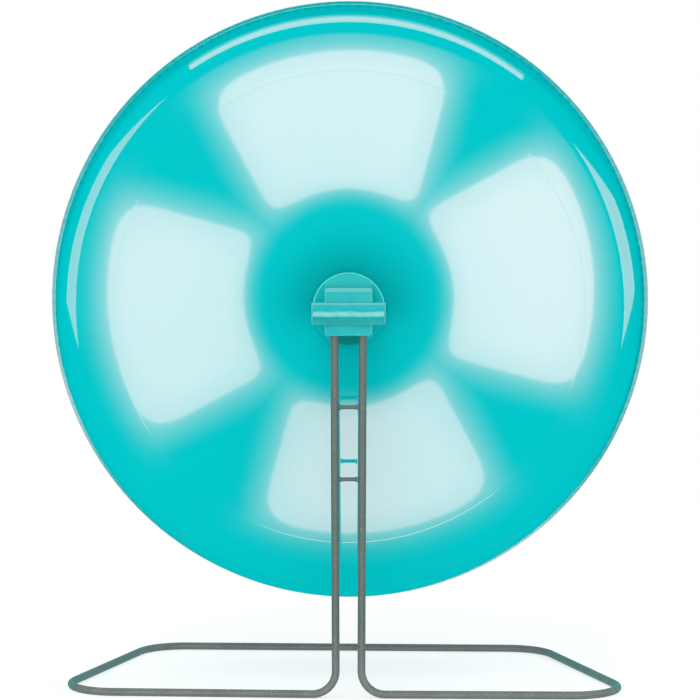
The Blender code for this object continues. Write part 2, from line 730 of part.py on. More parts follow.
def make_wheel_dish(parent):
    """The moulded wheel: domed disc, shoulder, ribbed drum, lip and hub boss."""
    outer = dish_line(0.0)
    *inner, drum_end = dish_line(WHEEL_WALL)

    def drum_inside(along):
        return drum_end[0] + (along - drum_end[1]) * math.tan(DRUM_DRAFT)

    lip = [
        (LIP_RADIUS - LIP_CHAMFER, LIP_REAR - LIP_THICKNESS),
        (LIP_RADIUS, LIP_REAR - LIP_THICKNESS + LIP_CHAMFER),
        (LIP_RADIUS, LIP_REAR - LIP_CHAMFER),
        (LIP_RADIUS - LIP_CHAMFER, LIP_REAR),
        (drum_inside(LIP_REAR), LIP_REAR),
    ]
    rib_ends = (LIP_REAR - RIB_MARGIN, inner[-1][1] + RIB_MARGIN)
    seat = BEARING_RIM + TOUCH_GAP
    root = inner[0][1]
    hub = [
        (BOSS_RADIUS, root),
        (BOSS_RADIUS, HUB_REAR),
        (seat, HUB_REAR),
        (seat, SEAT_FRONT),
        (HUB_EYE_RADIUS, SEAT_FRONT),
        (HUB_EYE_RADIUS, HUB_FRONT),
    ]
    builder = bmesh.new()
    rings = [ring(builder, radius, along, WHEEL_STEPS) for radius, along in outer + lip]
    rings += [ring(builder, drum_inside(along), along, RIB_COUNT * 2, RIB_HEIGHT) for along in rib_ends]
    rings += [ring(builder, radius, along, WHEEL_STEPS) for radius, along in inner[::-1]]
    rings += [ring(builder, radius, along, RING_STEPS * 2) for radius, along in hub]
    skin_all(builder, rings, closed=True)
    return add_piece("wheel_dish", builder, "turquoise_plastic", parent)


def make_hub_cap(parent):
    """Cap that pushes over the hub boss and covers the bolt's head."""
    inside = BOSS_RADIUS + TOUCH_GAP
    outside = inside + CAP_WALL
    skirt_front = dish_line(WHEEL_WALL)[0][1] + TOUCH_GAP * 2
    inner_top = HEAD_REAR + CAP_CLEARANCE
    outer_top = inner_top + CAP_WALL
    round_centre = (outside - CAP_ROUND, outer_top - CAP_ROUND)
    inner_round = CAP_ROUND - CAP_WALL
    profile = [(0.0, outer_top)]
    profile += arc(round_centre, CAP_ROUND, math.pi / 2, 0.0, SMALL_STEPS)
    profile += [(outside, skirt_front), (inside, skirt_front)]
    profile += arc(round_centre, inner_round, 0.0, math.pi / 2, SMALL_STEPS)
    profile.append((0.0, inner_top))
    return add_piece("hub_cap", turned(profile, RING_STEPS), "turquoise_plastic", parent)


def build():
    """Builds the whole object: the still stand, the ball set and the wheel."""
    clear_scene()
    stand = add_empty("stand_frame", (0.0, UPRIGHT_PLANE, 0.0))
    axle = add_empty("axle_frame", (0.0, UPRIGHT_PLANE, AXLE_HEIGHT))
    ball_axis = add_empty("ball_set_axis", (0.0, UPRIGHT_PLANE, AXLE_HEIGHT))
    wheel_axis = add_empty("wheel_axis", (0.0, UPRIGHT_PLANE, AXLE_HEIGHT))

    make_stand_wire(stand)
    for name, drop in CROSSBAR_DROPS.items():
        make_crossbar(name, AXLE_HEIGHT - drop, stand)
    make_wire_clamp(axle)
    make_axle_bracket(axle)
    for number, place in enumerate(screw_places(), 1):
        make_clamp_screw(number, place, axle)
    make_axle_nut(axle)
    make_axle_bolt(axle)
    make_spacer("hub_spacer", BRACKET_REAR + TOUCH_GAP, BEARING_FRONT - TOUCH_GAP, axle)
    make_spacer("shim_washer", SHIM_FRONT, SHIM_REAR, axle)
    make_inner_ring(axle)

    make_cage(ball_axis)
    for number in range(BALL_COUNT):
        make_ball(number, ball_axis)

    make_wheel_dish(wheel_axis)
    make_outer_ring(wheel_axis)
    make_shield("bearing_shield_front", BEARING_FRONT + SHIELD_INSET, wheel_axis)
    make_shield("bearing_shield_rear", BEARING_REAR - SHIELD_INSET - SHIELD_THICKNESS, wheel_axis)
    make_hub_cap(wheel_axis)


build()
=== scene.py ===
"""Looks of a rodent exercise wheel: a glossy moulded dish that spins on a bent wire stand.

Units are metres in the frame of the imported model: +Z is up, the axle runs along
+Y from the bracket to the wheel's open side, and the origin lies on the floor.
Places along the axle are counted from the plane of the two uprights.
"""
import logging
import math
from dataclasses import dataclass, field
from enum import Enum
from functools import partial
from typing import Any, Callable

import bmesh
import bpy
import numpy as np
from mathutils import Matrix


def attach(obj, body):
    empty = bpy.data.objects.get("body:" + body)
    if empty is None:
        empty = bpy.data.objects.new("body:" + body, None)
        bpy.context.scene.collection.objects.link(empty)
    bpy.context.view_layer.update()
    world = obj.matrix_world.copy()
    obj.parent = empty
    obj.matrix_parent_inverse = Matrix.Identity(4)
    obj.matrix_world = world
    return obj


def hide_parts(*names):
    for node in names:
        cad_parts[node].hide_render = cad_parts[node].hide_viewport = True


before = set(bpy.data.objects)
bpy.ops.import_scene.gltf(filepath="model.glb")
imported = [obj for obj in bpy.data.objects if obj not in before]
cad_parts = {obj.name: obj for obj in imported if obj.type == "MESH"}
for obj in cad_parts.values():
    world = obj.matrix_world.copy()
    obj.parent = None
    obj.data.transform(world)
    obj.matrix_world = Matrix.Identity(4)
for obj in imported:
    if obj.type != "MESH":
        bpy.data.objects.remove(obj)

LOG = logging.getLogger("wheel")
UPRIGHT_PLANE = -0.0658     # y of the plane of the uprights
AXLE_HEIGHT = 0.1966
DRAFT = math.radians(7.6)   # of the wheel's drum
RIB_COUNT = 180
CREASE_RADIUS = 0.1209      # a fine step in the disc, with a line in its gloss
TOUCH_GAP = 0.0003          # between two pieces that bear on each other
OVERCUT = 0.001             # how far a cutting shape reaches past what it cuts
SHARP_ANGLE = math.radians(38.0)
FLAT_ANGLE = math.radians(6.0)      # the same for cut mouldings, whose flat faces stay flat
Colour = tuple[float, float, float]
Pair = tuple[float, float]
Wave = tuple[float, float, float]   # height, turn for each metre, and turn at the middle


class Body(Enum):
    """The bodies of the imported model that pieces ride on."""

    STAND = "stand"
    WHEEL = "wheel"


class Slot(Enum):
    """The record's material slots."""

    WIRE = "grey_wire"
    PALE = "pale_turquoise_plastic"
    TURQUOISE = "turquoise_plastic"
    ZINC = "zinc_steel"
    BEARING = "bearing_steel"
    NYLON = "cage_nylon"


# ---- Shader nodes

class Term:
    """A shader socket that takes part in Python sums; each operator adds a Math node."""

    def __init__(self, nodes: "Nodes", socket: bpy.types.NodeSocket) -> None:
        """Wraps an output socket of a node tree."""
        self.nodes = nodes
        self.socket = socket

    def math(self, operation: str, *others: "Term | float") -> "Term":
        """Adds a Math node with this socket as its first value."""
        return self.nodes.math(operation, self, *others)

    def __add__(self, other: "Term | float") -> "Term":
        """Sum of two values."""
        return self.math("ADD", other)

    __radd__ = __add__

    def __sub__(self, other: "Term | float") -> "Term":
        """This value less another."""
        return self.math("SUBTRACT", other)

    def __rsub__(self, other: float) -> "Term":
        """A number less this value."""
        return self.nodes.math("SUBTRACT", other, self)

    def __mul__(self, other: "Term | float") -> "Term":
        """Product of two values."""
        return self.math("MULTIPLY", other)

    __rmul__ = __mul__

    def __truediv__(self, other: "Term | float") -> "Term":
        """This value divided by another."""
        return self.math("DIVIDE", other)

    def __rtruediv__(self, other: float) -> "Term":
        """A number divided by this value."""
        return self.nodes.math("DIVIDE", other, self)

    def __pow__(self, other: float) -> "Term":
        """This value raised to a power."""
        return self.math("POWER", other)

    def __abs__(self) -> "Term":
        """This value without its sign."""
        return self.math("ABSOLUTE")

    def ramp(self, low: float, high: float) -> "Term":
        """Smooth step from 0 at low to 1 at high; low may be above high."""
        node = self.nodes.add("ShaderNodeMapRange", {"interpolation_type": "SMOOTHSTEP"}, {
            "Value": self, "From Min": min(low, high), "From Max": max(low, high),
            "To Min": float(low > high), "To Max": float(low < high)})
        return Term(self.nodes, node.outputs["Result"])


Input = Term | bpy.types.NodeSocket | float | tuple


class Nodes:
    """A node tree with one method that adds any node."""

    def __init__(self, tree: bpy.types.NodeTree) -> None:
        """Wraps the node tree of a material or the world."""
        self.tree = tree

    def add(self, kind: str, settings: dict[str, Any] | None = None,
            inputs: dict[str | int, Input] | None = None) -> bpy.types.Node:
        """Adds a node.

        Args:
            kind: The node's type.
            settings: Its properties, such as an operation, which are set first.
            inputs: Values or links of its sockets, by name or number.

        Returns:
            The new node.
        """
        node = self.tree.nodes.new(kind)
        for name, value in (settings or {}).items():
            setattr(node, name, value)
        self.feed(node, inputs or {})
        return node

    def feed(self, node: bpy.types.Node, inputs: dict[str | int, Input]) -> None:
        """Links sockets of a node to other ones, or sets their own values.

        Args:
            node: The node.
            inputs: What each socket gets, by its name or number.
        """
        for name, value in inputs.items():
            socket = node.inputs[name]
            if isinstance(value, Term):
                self.tree.links.new(value.socket, socket)
            elif isinstance(value, bpy.types.NodeSocket):
                self.tree.links.new(value, socket)
            elif isinstance(value, tuple) and socket.type == "RGBA":
                socket.default_value = (*value, 1.0)
            else:
                socket.default_value = value

    def math(self, operation: str, *values: Term | float) -> Term:
        """Adds a Math node and returns its result."""
        node = self.add("ShaderNodeMath", {"operation": operation}, dict(enumerate(values)))
        return Term(self, node.outputs[0])

    def mix(self, share: Input, first: Input, second: Input) -> bpy.types.NodeSocket:
        """Mixes two colours; a share of 0 gives the first."""
        node = self.add("ShaderNodeMix", {"data_type": "RGBA"}, {0: share, 6: first, 7: second})
        return node.outputs[2]

    def vector(self, x: Input, y: Input, z: Input) -> bpy.types.NodeSocket:
        """Joins three values to a vector."""
        return self.add("ShaderNodeCombineXYZ", None, {0: x, 1: y, 2: z}).outputs[0]

    def parts(self, vector: bpy.types.NodeSocket) -> tuple[Term, Term, Term]:
        """Splits a vector into its three values."""
        node = self.add("ShaderNodeSeparateXYZ", None, {0: vector})
        return tuple(Term(self, output) for output in node.outputs)

    def place(self) -> bpy.types.NodeSocket:
        """Object coordinates, which are metres in the model's frame."""
        return self.add("ShaderNodeTexCoord").outputs["Object"]

    def noise(self, vector: Input, scale: float, detail: float = 2.0, rough: float = 0.5) -> Term:
        """Soft noise between about 0.2 and 0.8, at so many bumps a metre."""
        node = self.add("ShaderNodeTexNoise", None, {
            "Vector": vector, "Scale": scale, "Detail": detail, "Roughness": rough})
        return Term(self, node.outputs[0])

    def bump(self, height: Term, depth: float) -> bpy.types.NodeSocket:
        """Turns a height of 0 to 1 into a normal; depth is its real height in metres."""
        inputs = {"Strength": 1.0, "Distance": depth, "Height": height}
        return self.add("ShaderNodeBump", None, inputs).outputs[0]

    def about_axle(self) -> tuple[Term, Term, Term, Term]:
        """Works out where a point lies about the axle.

        Returns:
            Its distance from the axle, its place along it, and the sine and cosine of its turn.
        """
        x, y, z = self.parts(self.place())
        up = z - AXLE_HEIGHT
        radius = (x * x + up * up).math("SQRT")
        safe = radius.math("MAXIMUM", 1e-5)
        return radius, y - UPRIGHT_PLANE, x / safe, up / safe


# ---- Finishes

@dataclass(frozen=True)
class Finish:
    """A Principled shader: its constants, and a method that gives what varies over the surface."""

    slot: Slot
    colour: Colour
    roughness: float
    metallic: float = 0.0
    specular: float = 0.5
    coat: float = 0.0
    coat_roughness: float = 0.03

    def surface(self, nodes: Nodes) -> dict[str, Input]:
        """What varies over the surface, by the shader's socket."""
        raise NotImplementedError

    def paint(self, piece: bpy.types.Object) -> None:
        """Puts the finish on a new piece or on a carried-over CAD node.

        Args:
            piece: The piece, whose name names its material too.
        """
        material = bpy.data.materials.new(f"{piece.name}_{self.slot.value}")
        material.use_nodes = True
        material.diffuse_color = (*self.colour, 1.0)
        nodes = Nodes(material.node_tree)
        shader = material.node_tree.nodes["Principled BSDF"]
        nodes.feed(shader, {
            "Base Color": self.colour, "Roughness": self.roughness, "Metallic": self.metallic,
            "Specular IOR Level": self.specular, "Coat Weight": self.coat,
            "Coat Roughness": self.coat_roughness})
        nodes.feed(shader, self.surface(nodes))
        places = piece.data.materials
        if not places:
            places.append(material)
        for index in range(len(places)):
            places[index] = material


@dataclass(frozen=True)
class GlossPlastic(Finish):
    """High-gloss moulded plastic with flow marks from the hub, clouds, rib shade and claw wear."""

    deep: Colour = (0.0, 0.480, 0.500)
    worn: Colour = (0.25, 0.62, 0.63)
    painted_hub_shade: Colour = (0.0, 0.395, 0.410)     # painted shade about the hub
    hub_reach: Pair = (0.050, 0.014)
    drum_end: Pair = (0.1630, 0.1304)   # radius and place of the drum's rear end
    drum_start: float = 0.0420
    inner_start: float = 0.0040         # how fast the marks set in behind the drum's start
    outer_start: float = 0.0100
    inner_face: Pair = (-0.0010, -0.0018)       # depths in the drum's wall
    outer_face: Pair = (-0.0010, -0.0004)
    rib_slant: float = 260.0            # turn of the ribs' shade for each metre along the drum
    crease_soft: float = 0.0003         # how softly the coat changes at the crease
    line_width: float = 0.0008          # of the line in the coat, outside the crease
    line_gap: float = 0.80              # coat that is missing in the line
    dull: float = 0.22                  # coat that is missing inside the crease
    grain_depth: float = 0.000012

    def surface(self, nodes: Nodes) -> dict[str, Input]:
        """Colour clouds, rib shade on the drum, fine scratches inside it, and the crease's line.

        Args:
            nodes: The material's nodes.

        Returns:
            What each socket of the shader gets.
        """
        radius, along, sine, cosine = nodes.about_axle()
        flow = nodes.noise(nodes.vector(sine * 0.05, cosine * 0.05, radius * 0.25), 90.0, 3.0)
        clouds = nodes.noise(nodes.place(), 14.0, 3.0)
        depth = radius - (along - self.drum_end[1]) * math.tan(DRAFT) - self.drum_end[0]
        start = self.drum_start
        inside = depth.ramp(*self.inner_face) * along.ramp(start, start + self.inner_start)
        outside = depth.ramp(*self.outer_face) * along.ramp(start, start + self.outer_start)
        turn = nodes.math("ARCTAN2", sine, cosine)
        ribs = (turn * RIB_COUNT + along * self.rib_slant).math("SINE") * 0.5 + 0.5
        shade = (flow - 0.5) * 0.25 + (clouds - 0.5) * 0.35 + ribs * outside * 0.80
        colour = nodes.mix(shade.math("MAXIMUM", 0.0), self.colour, self.deep)
        # Painted shade about the hub, above the axle only.
        hub = radius.ramp(*self.hub_reach) * cosine.ramp(-0.7, 0.2)
        colour = nodes.mix(hub, colour, self.painted_hub_shade)
        round_drum = nodes.vector(sine * self.drum_end[0], cosine * self.drum_end[0], along * 9.0)
        scratches = nodes.noise(round_drum, 140.0, 4.0, 0.7).ramp(0.56, 0.66) * inside
        crease_end = CREASE_RADIUS + self.crease_soft
        beyond = radius.ramp(CREASE_RADIUS - self.crease_soft, crease_end)
        line = beyond * radius.ramp(CREASE_RADIUS + self.line_width, crease_end)
        grain = nodes.noise(nodes.place(), 900.0, 2.0)
        return {
            "Base Color": nodes.mix(scratches * 0.18, colour, self.worn),
            "Roughness": (clouds - 0.5) * 0.03 + scratches * 0.25 + self.roughness,
            "Coat Weight": beyond * self.dull + (self.coat - self.dull) - line * self.line_gap,
            "Normal": nodes.bump(grain * 0.2 + scratches, self.grain_depth),
        }


@dataclass(frozen=True)
class MilkyPlastic(Finish):
    """Slightly milky moulded plastic, with the wire ends showing through the bead and a painted
    highlight on it.
    """

    milk: Colour = (0.02, 0.53, 0.54)
    # partly the wire ends showing through, partly a painted highlight on the bead's upper half
    wire_and_highlight_tint: Colour = (0.17, 0.66, 0.64)
    shade: Colour = (0.0, 0.30, 0.30)
    bar_front: Pair = (UPRIGHT_PLANE - 0.0040, UPRIGHT_PLANE - 0.0046)
    bead_front: Pair = (UPRIGHT_PLANE - 0.0050, UPRIGHT_PLANE - 0.0056)
    shade_top: Pair = (-0.0036, -0.0048)        # heights about the axle
    shade_foot: Pair = (-0.0086, -0.0072)
    # band of the pale tint: wire ends showing through, and a painted highlight
    tint_foot: Pair = (-0.0038, -0.0024)
    tint_top: Pair = (0.0006, -0.0002)
    waver: float = 0.0012

    def surface(self, nodes: Nodes) -> dict[str, Input]:
        """Milky clouds, fine grain and what shows at each place.

        Args:
            nodes: The material's nodes.

        Returns:
            What each socket of the shader gets.
        """
        clouds = nodes.noise(nodes.place(), 150.0)
        colour = nodes.mix(clouds.ramp(0.35, 0.75) * 0.5, self.colour, self.milk)
        grain = nodes.noise(nodes.place(), 1500.0, 3.0, 0.6)
        return {
            "Base Color": self.shown(nodes, colour),
            "Roughness": (clouds - 0.5) * 0.10 + self.roughness,
            "Normal": nodes.bump(grain, 0.000008),
        }

    def shown(self, nodes: Nodes, colour: bpy.types.NodeSocket) -> bpy.types.NodeSocket:
        """Adds the pale tint along the bead (wire ends showing through, and a painted highlight)
        and the painted shade under it.

        Args:
            nodes: The material's nodes.
            colour: The plastic's own colour.

        Returns:
            The colour that shows.
        """
        x, y, z = nodes.parts(nodes.place())
        waver = (nodes.noise(nodes.vector(x, 0.0, 0.0), 260.0) - 0.5) * self.waver
        level = z + waver - AXLE_HEIGHT
        under = level.ramp(*self.shade_top) * level.ramp(*self.shade_foot)
        colour = nodes.mix(under * y.ramp(*self.bar_front) * 0.50, colour, self.shade)
        # Painted highlight on the bead's upper half, where the wire ends also show through.
        tint = level.ramp(*self.tint_foot) * level.ramp(*self.tint_top) * y.ramp(*self.bead_front)
        patches = nodes.noise(nodes.vector(x, 0.0, z * 0.6), 240.0).ramp(0.30, 0.60)
        return nodes.mix(tint * (patches * 0.30 + 0.55), colour, self.wire_and_highlight_tint)


@dataclass(frozen=True)
class FlangePlastic(MilkyPlastic):
    """The same plastic where it is thin: clear beside the column, painted highlight on the upper
    rim, painted shade low down.
    """

    clear: Colour = (0.0, 0.570, 0.575)
    # painted highlight on the upper rim
    rim: Colour = (0.12, 0.80, 0.84)
    # painted shade low on the flange, between the uprights under the block
    recess: Colour = (0.0, 0.340, 0.310)
    column_side: Pair = (0.0123, 0.0118)
    rim_edge: Pair = (0.01765, 0.01790)
    painted_shade_side: Pair = (0.0085, 0.0060)

    def shown(self, nodes: Nodes, colour: bpy.types.NodeSocket) -> bpy.types.NodeSocket:
        """The colour for each place of the round flange and its column.

        Args:
            nodes: The material's nodes.
            colour: The plastic's own colour.

        Returns:
            The colour that shows.
        """
        radius, _, _, _ = nodes.about_axle()
        x, _, z = nodes.parts(nodes.place())
        across, level = abs(x), z - AXLE_HEIGHT
        colour = nodes.mix(across.ramp(*self.column_side), self.clear, colour)
        # Painted highlight along the flange's upper rim.
        painted_rim_highlight = radius.ramp(*self.rim_edge) * level.ramp(-0.0060, 0.0010)
        colour = nodes.mix(painted_rim_highlight, colour, self.rim)
        # Painted shade low on the flange, between the uprights.
        lower = level.ramp(-0.0100, -0.0130) * across.ramp(*self.painted_shade_side)
        return nodes.mix(lower, colour, self.recess)


@dataclass(frozen=True)
class CoatedWire(Finish):
    """Satin grey coated steel wire, with fine draw lines along it and small pits."""

    dark: Colour = (0.130, 0.150, 0.142)
    high: Colour = (0.106, 0.150, 0.136)        # painted shade on the uprights, darker and greener than the loop
    fleck: Colour = (0.38, 0.42, 0.40)

    def surface(self, nodes: Nodes) -> dict[str, Input]:
        """Draw lines along the wire's own run attribute, pale flecks and soft clouds.

        Args:
            nodes: The material's nodes.

        Returns:
            What each socket of the shader gets.
        """
        run = nodes.add("ShaderNodeAttribute", {"attribute_name": "run"}).outputs["Vector"]
        side, up, length = nodes.parts(run)
        lines = nodes.noise(nodes.vector(side, up, length * 0.02), 2600.0, 3.0, 0.6)
        clouds = nodes.noise(nodes.place(), 120.0, 3.0, 0.6)
        flecks = nodes.noise(nodes.place(), 1100.0, 1.0).ramp(0.66, 0.74)
        shade = (lines - 0.5) * 0.5 + clouds.ramp(0.35, 0.65) * 0.5
        colour = nodes.mix(shade.math("MAXIMUM", 0.0), self.colour, self.dark)
        _, _, z = nodes.parts(nodes.place())
        # Painted shade: the uprights darker and greener than the loop on the floor.
        colour = nodes.mix(z.ramp(0.010, 0.040) * 0.85, colour, self.high)
        return {
            "Base Color": nodes.mix(flecks * 0.5, colour, self.fleck),
            "Roughness": (lines - 0.5) * 0.12 + (clouds - 0.5) * 0.10 + self.roughness,
            "Normal": nodes.bump(lines + flecks * 0.5, 0.000008),
        }


@dataclass(frozen=True)
class PlatedSteel(Finish):
    """Zinc-plated steel: a blue and straw tinge in clouds, and a fine crystal grain."""

    tinge: Colour = (0.62, 0.58, 0.48)

    def surface(self, nodes: Nodes) -> dict[str, Input]:
        """The tinge, the grain and dull patches.

        Args:
            nodes: The material's nodes.

        Returns:
            What each socket of the shader gets.
        """
        clouds = nodes.noise(nodes.place(), 320.0, 3.0, 0.6)
        grain = nodes.noise(nodes.place(), 2400.0, 3.0, 0.6)
        return {
            "Base Color": nodes.mix(clouds.ramp(0.40, 0.70), self.colour, self.tinge),
            "Roughness": (grain - 0.5) * 0.20 + (clouds - 0.5) * 0.15 + self.roughness,
            "Normal": nodes.bump(grain, 0.00002),
        }


@dataclass(frozen=True)
class GroundSteel(Finish):
    """Ground bearing steel, with fine lines that run round the axle and a thin film of oil."""

    oil: Colour = (0.34, 0.33, 0.30)

    def surface(self, nodes: Nodes) -> dict[str, Input]:
        """Grinding lines about the axle and the film of oil.

        Args:
            nodes: The material's nodes.

        Returns:
            What each socket of the shader gets.
        """
        radius, along, sine, _ = nodes.about_axle()
        lines = nodes.noise(nodes.vector(radius, along, sine * 0.0002), 9000.0)
        film = nodes.noise(nodes.place(), 400.0)
        return {
            "Base Color": nodes.mix(film.ramp(0.45, 0.75), self.colour, self.oil),
            "Roughness": (lines - 0.5) * 0.15 + (film - 0.5) * 0.10 + self.roughness,
            "Normal": nodes.bump(lines, 0.000006),
        }


@dataclass(frozen=True)
class Nylon(Finish):
    """Natural nylon with a dry, slightly uneven skin."""

    dim: Colour = (0.52, 0.47, 0.36)

    def surface(self, nodes: Nodes) -> dict[str, Input]:
        """Clouds and a fine grain."""
        clouds = nodes.noise(nodes.place(), 500.0, 3.0)
        return {
            "Base Color": nodes.mix(clouds, self.colour, self.dim),
            "Roughness": (clouds - 0.5) * 0.2 + self.roughness,
            "Normal": nodes.bump(nodes.noise(nodes.place(), 3000.0), 0.00002),
        }


TURQUOISE = GlossPlastic(Slot.TURQUOISE, (0.0, 0.575, 0.600), 0.05, specular=1.0, coat=1.0)
PALE = MilkyPlastic(Slot.PALE, (0.0, 0.475, 0.495), 0.22, specular=0.75)
FLANGE = FlangePlastic(Slot.PALE, (0.03, 0.560, 0.555), 0.42, specular=0.05)
WIRE = CoatedWire(Slot.WIRE, (0.182, 0.200, 0.190), 0.22, specular=0.30)
ZINC = PlatedSteel(Slot.ZINC, (0.55, 0.56, 0.58), 0.30, metallic=1.0)
GROUND = GroundSteel(Slot.BEARING, (0.42, 0.42, 0.44), 0.16, metallic=1.0)
NYLON = Nylon(Slot.NYLON, (0.60, 0.55, 0.42), 0.45)
CARRIED = {
    ZINC: ["clamp_screw_1", "clamp_screw_2", "clamp_screw_3", "axle_nut", "axle_bolt",
           "hub_spacer", "shim_washer"],
    GROUND: ["bearing_inner_ring", "bearing_outer_ring", "bearing_shield_front",
             "bearing_shield_rear", *(f"bearing_ball_{number}" for number in range(1, 8))],
    NYLON: ["ball_cage"],
}


# ---- Plane outlines and surfaces

def unit(vector: np.ndarray) -> np.ndarray:
    """Vectors of length 1, in the directions of the rows of an array."""
    return vector / np.linalg.norm(vector, axis=-1, keepdims=True)


def circle(columns: int) -> np.ndarray:
    """Even turns all round, in radians."""
    return np.arange(columns) * 2 * math.pi / columns


def arc(before: np.ndarray, corner: np.ndarray, after: np.ndarray, bend: float, steps: int,
        ) -> np.ndarray:
    """Arc that rounds a corner and touches both of its sides.

    Its centre lies on the corner's bisector, at bend / sin(half the corner's
    angle), and its directions are blended evenly from the first to the last.

    Args:
        before: The chain's point before the corner.
        corner: The corner.
        after: The point after it.
        bend: The arc's radius.
        steps: Its steps.

    Returns:
        The arc's points, one in each row.
    """
    back, onward = unit(before - corner), unit(after - corner)
    half = math.acos(np.clip(back @ onward, -1, 1)) / 2
    centre = corner + unit(back + onward) * bend / math.sin(half)
    start = (corner + back * bend / math.tan(half) - centre) / bend
    end = (corner + onward * bend / math.tan(half) - centre) / bend
    sweep = math.acos(np.clip(start @ end, -1, 1))
    share = np.linspace(0, 1, steps + 1)[:, None]
    blend = (np.sin((1 - share) * sweep) * start + np.sin(share * sweep) * end) / math.sin(sweep)
    return centre + bend * blend


def rounded(corners: list[Pair], bends: list[float], steps: int | list[int],
            closed: bool = False) -> np.ndarray:
    """Rounds the corners of a plane chain with arcs.

    Args:
        corners: The chain's corners.
        bends: Radius of the arc at each corner; 0 keeps the corner.
        steps: Steps of each arc, one number or one for each corner.
        closed: Whether the last corner joins the first.

    Returns:
        The points of the rounded chain, as an array of two columns.
    """
    chain = np.array(corners, float)
    counts = [steps] * len(chain) if isinstance(steps, int) else steps
    pieces = []
    for index, (corner, bend, count) in enumerate(zip(chain, bends, counts)):
        at_end = not closed and index in (0, len(chain) - 1)
        after = chain[(index + 1) % len(chain)]
        pieces.append(corner if bend == 0.0 or at_end
                      else arc(chain[index - 1], corner, after, bend, count))
    return np.vstack(pieces)


def grid(name: str, points: np.ndarray, wrap_rows: bool = False, caps: bool = False,
         run: np.ndarray | None = None) -> bpy.types.Object:
    """Skins a grid of points whose columns run round.

    Point (i, j) joins its neighbours at i + 1 and at j + 1, where j counts
    round and starts again after the last column. Doubled points, such as the
    ring of a pole, are merged, and the faces are turned outwards. Edges
    sharper than the shared angle stay sharp.

    Args:
        name: The object's name.
        points: Array of rows, columns and three values.
        wrap_rows: Whether the last row joins the first.
        caps: Whether the first and last rows are closed by a face.
        run: Values of the "run" attribute, in an array like that of the points.

    Returns:
        The new object, at the origin.
    """
    rows, columns = points.shape[:2]
    row, column = np.meshgrid(np.arange(rows if wrap_rows else rows - 1), np.arange(columns),
                              indexing="ij")
    next_row, next_column = (row + 1) % rows, (column + 1) % columns
    faces = np.stack([row * columns + column, row * columns + next_column,
                      next_row * columns + next_column, next_row * columns + column], axis=-1)
    faces = faces.reshape(-1, 4).tolist()
    if caps:
        faces += [list(range(columns)), list(range((rows - 1) * columns, rows * columns))]
    mesh = bpy.data.meshes.new(name)
    mesh.from_pydata(points.reshape(-1, 3).tolist(), [], faces)
    if run is not None:
        attribute = mesh.attributes.new("run", "FLOAT_VECTOR", "POINT")
        attribute.data.foreach_set("vector", run.ravel())
    builder = bmesh.new()
    builder.from_mesh(mesh)
    bmesh.ops.remove_doubles(builder, verts=builder.verts, dist=1e-7)
    bmesh.ops.recalc_face_normals(builder, faces=builder.faces)
    builder.to_mesh(mesh)
    builder.free()
    mesh.shade_smooth()
    mesh.set_sharp_from_angle(angle=SHARP_ANGLE)
    piece = bpy.data.objects.new(name, mesh)
    bpy.context.scene.collection.objects.link(piece)
    return piece


def spread(x: np.ndarray | float, y: np.ndarray | float, z: np.ndarray | float) -> np.ndarray:
    """Joins three values or arrays, spread to one shape, to points."""
    return np.stack(np.broadcast_arrays(x, y, z), axis=-1)


def revolved(name: str, profile: np.ndarray, columns: int, ripple: np.ndarray | float = 0.0,
             place: Pair = (0.0, 0.0)) -> bpy.types.Object:
    """Turns a profile round the axle's direction.

    Point (i, j) lies at radius r_i, less the ripple, in the direction of turn
    2 pi j / columns. A profile that starts on the axis also ends there.

    Args:
        name: The object's name.
        profile: Points of radius and place along the axle.
        columns: Points round.
        ripple: What is taken off the radius, by row and column.
        place: Centre of the turn, across the axle and above it.

    Returns:
        The new object.
    """
    turn = circle(columns)
    radius = profile[:, :1] - ripple
    points = spread(place[0] + radius * np.sin(turn), profile[:, 1:] + UPRIGHT_PLANE,
                    AXLE_HEIGHT + place[1] + radius * np.cos(turn))
    return grid(name, points, wrap_rows=profile[0, 0] != 0.0)


def slab(name: str, outline: np.ndarray, front: float, rear: float, edge: float,
         ) -> bpy.types.Object:
    """Carries an outline along the axle, with its front edge rounded.

    Row k of the round lies at edge * (1 - cos a) behind the front and is drawn
    in by edge * (1 - sin a), where a goes from 0 to a quarter turn.

    Args:
        name: The object's name.
        outline: Closed outline of x and of height above the axle, counter-clockwise.
        front: Place of the front face along the axle.
        rear: Place of the rear face.
        edge: Radius of the rounded front edge.

    Returns:
        The new object.
    """
    first = unit(outline - np.roll(outline, 1, axis=0))
    second = unit(np.roll(outline, -1, axis=0) - outline)
    normal = unit(np.stack([first[:, 1] + second[:, 1], -first[:, 0] - second[:, 0]], axis=1))
    lean = normal * np.stack([first[:, 1], -first[:, 0]], axis=1)
    normal /= np.clip(np.sum(lean, axis=1, keepdims=True), 0.3, 1)
    angle = np.linspace(0, math.pi / 2, 7)
    inset = np.append(edge * (1 - np.sin(angle)), 0.0)
    along = np.append(front + edge * (1 - np.cos(angle)), rear)
    plane = outline[None] - normal[None] * inset[:, None, None]
    points = spread(plane[..., 0], along[:, None] + UPRIGHT_PLANE, plane[..., 1] + AXLE_HEIGHT)
    return grid(name, points, caps=True)


def rounded_box(width: float, low: float, high: float, corner: float) -> np.ndarray:
    """Counter-clockwise outline of a rounded rectangle that is centred across the axle."""
    half = width / 2
    return rounded([(-half, low), (half, low), (half, high), (-half, high)], [corner] * 4, 6,
                   closed=True)


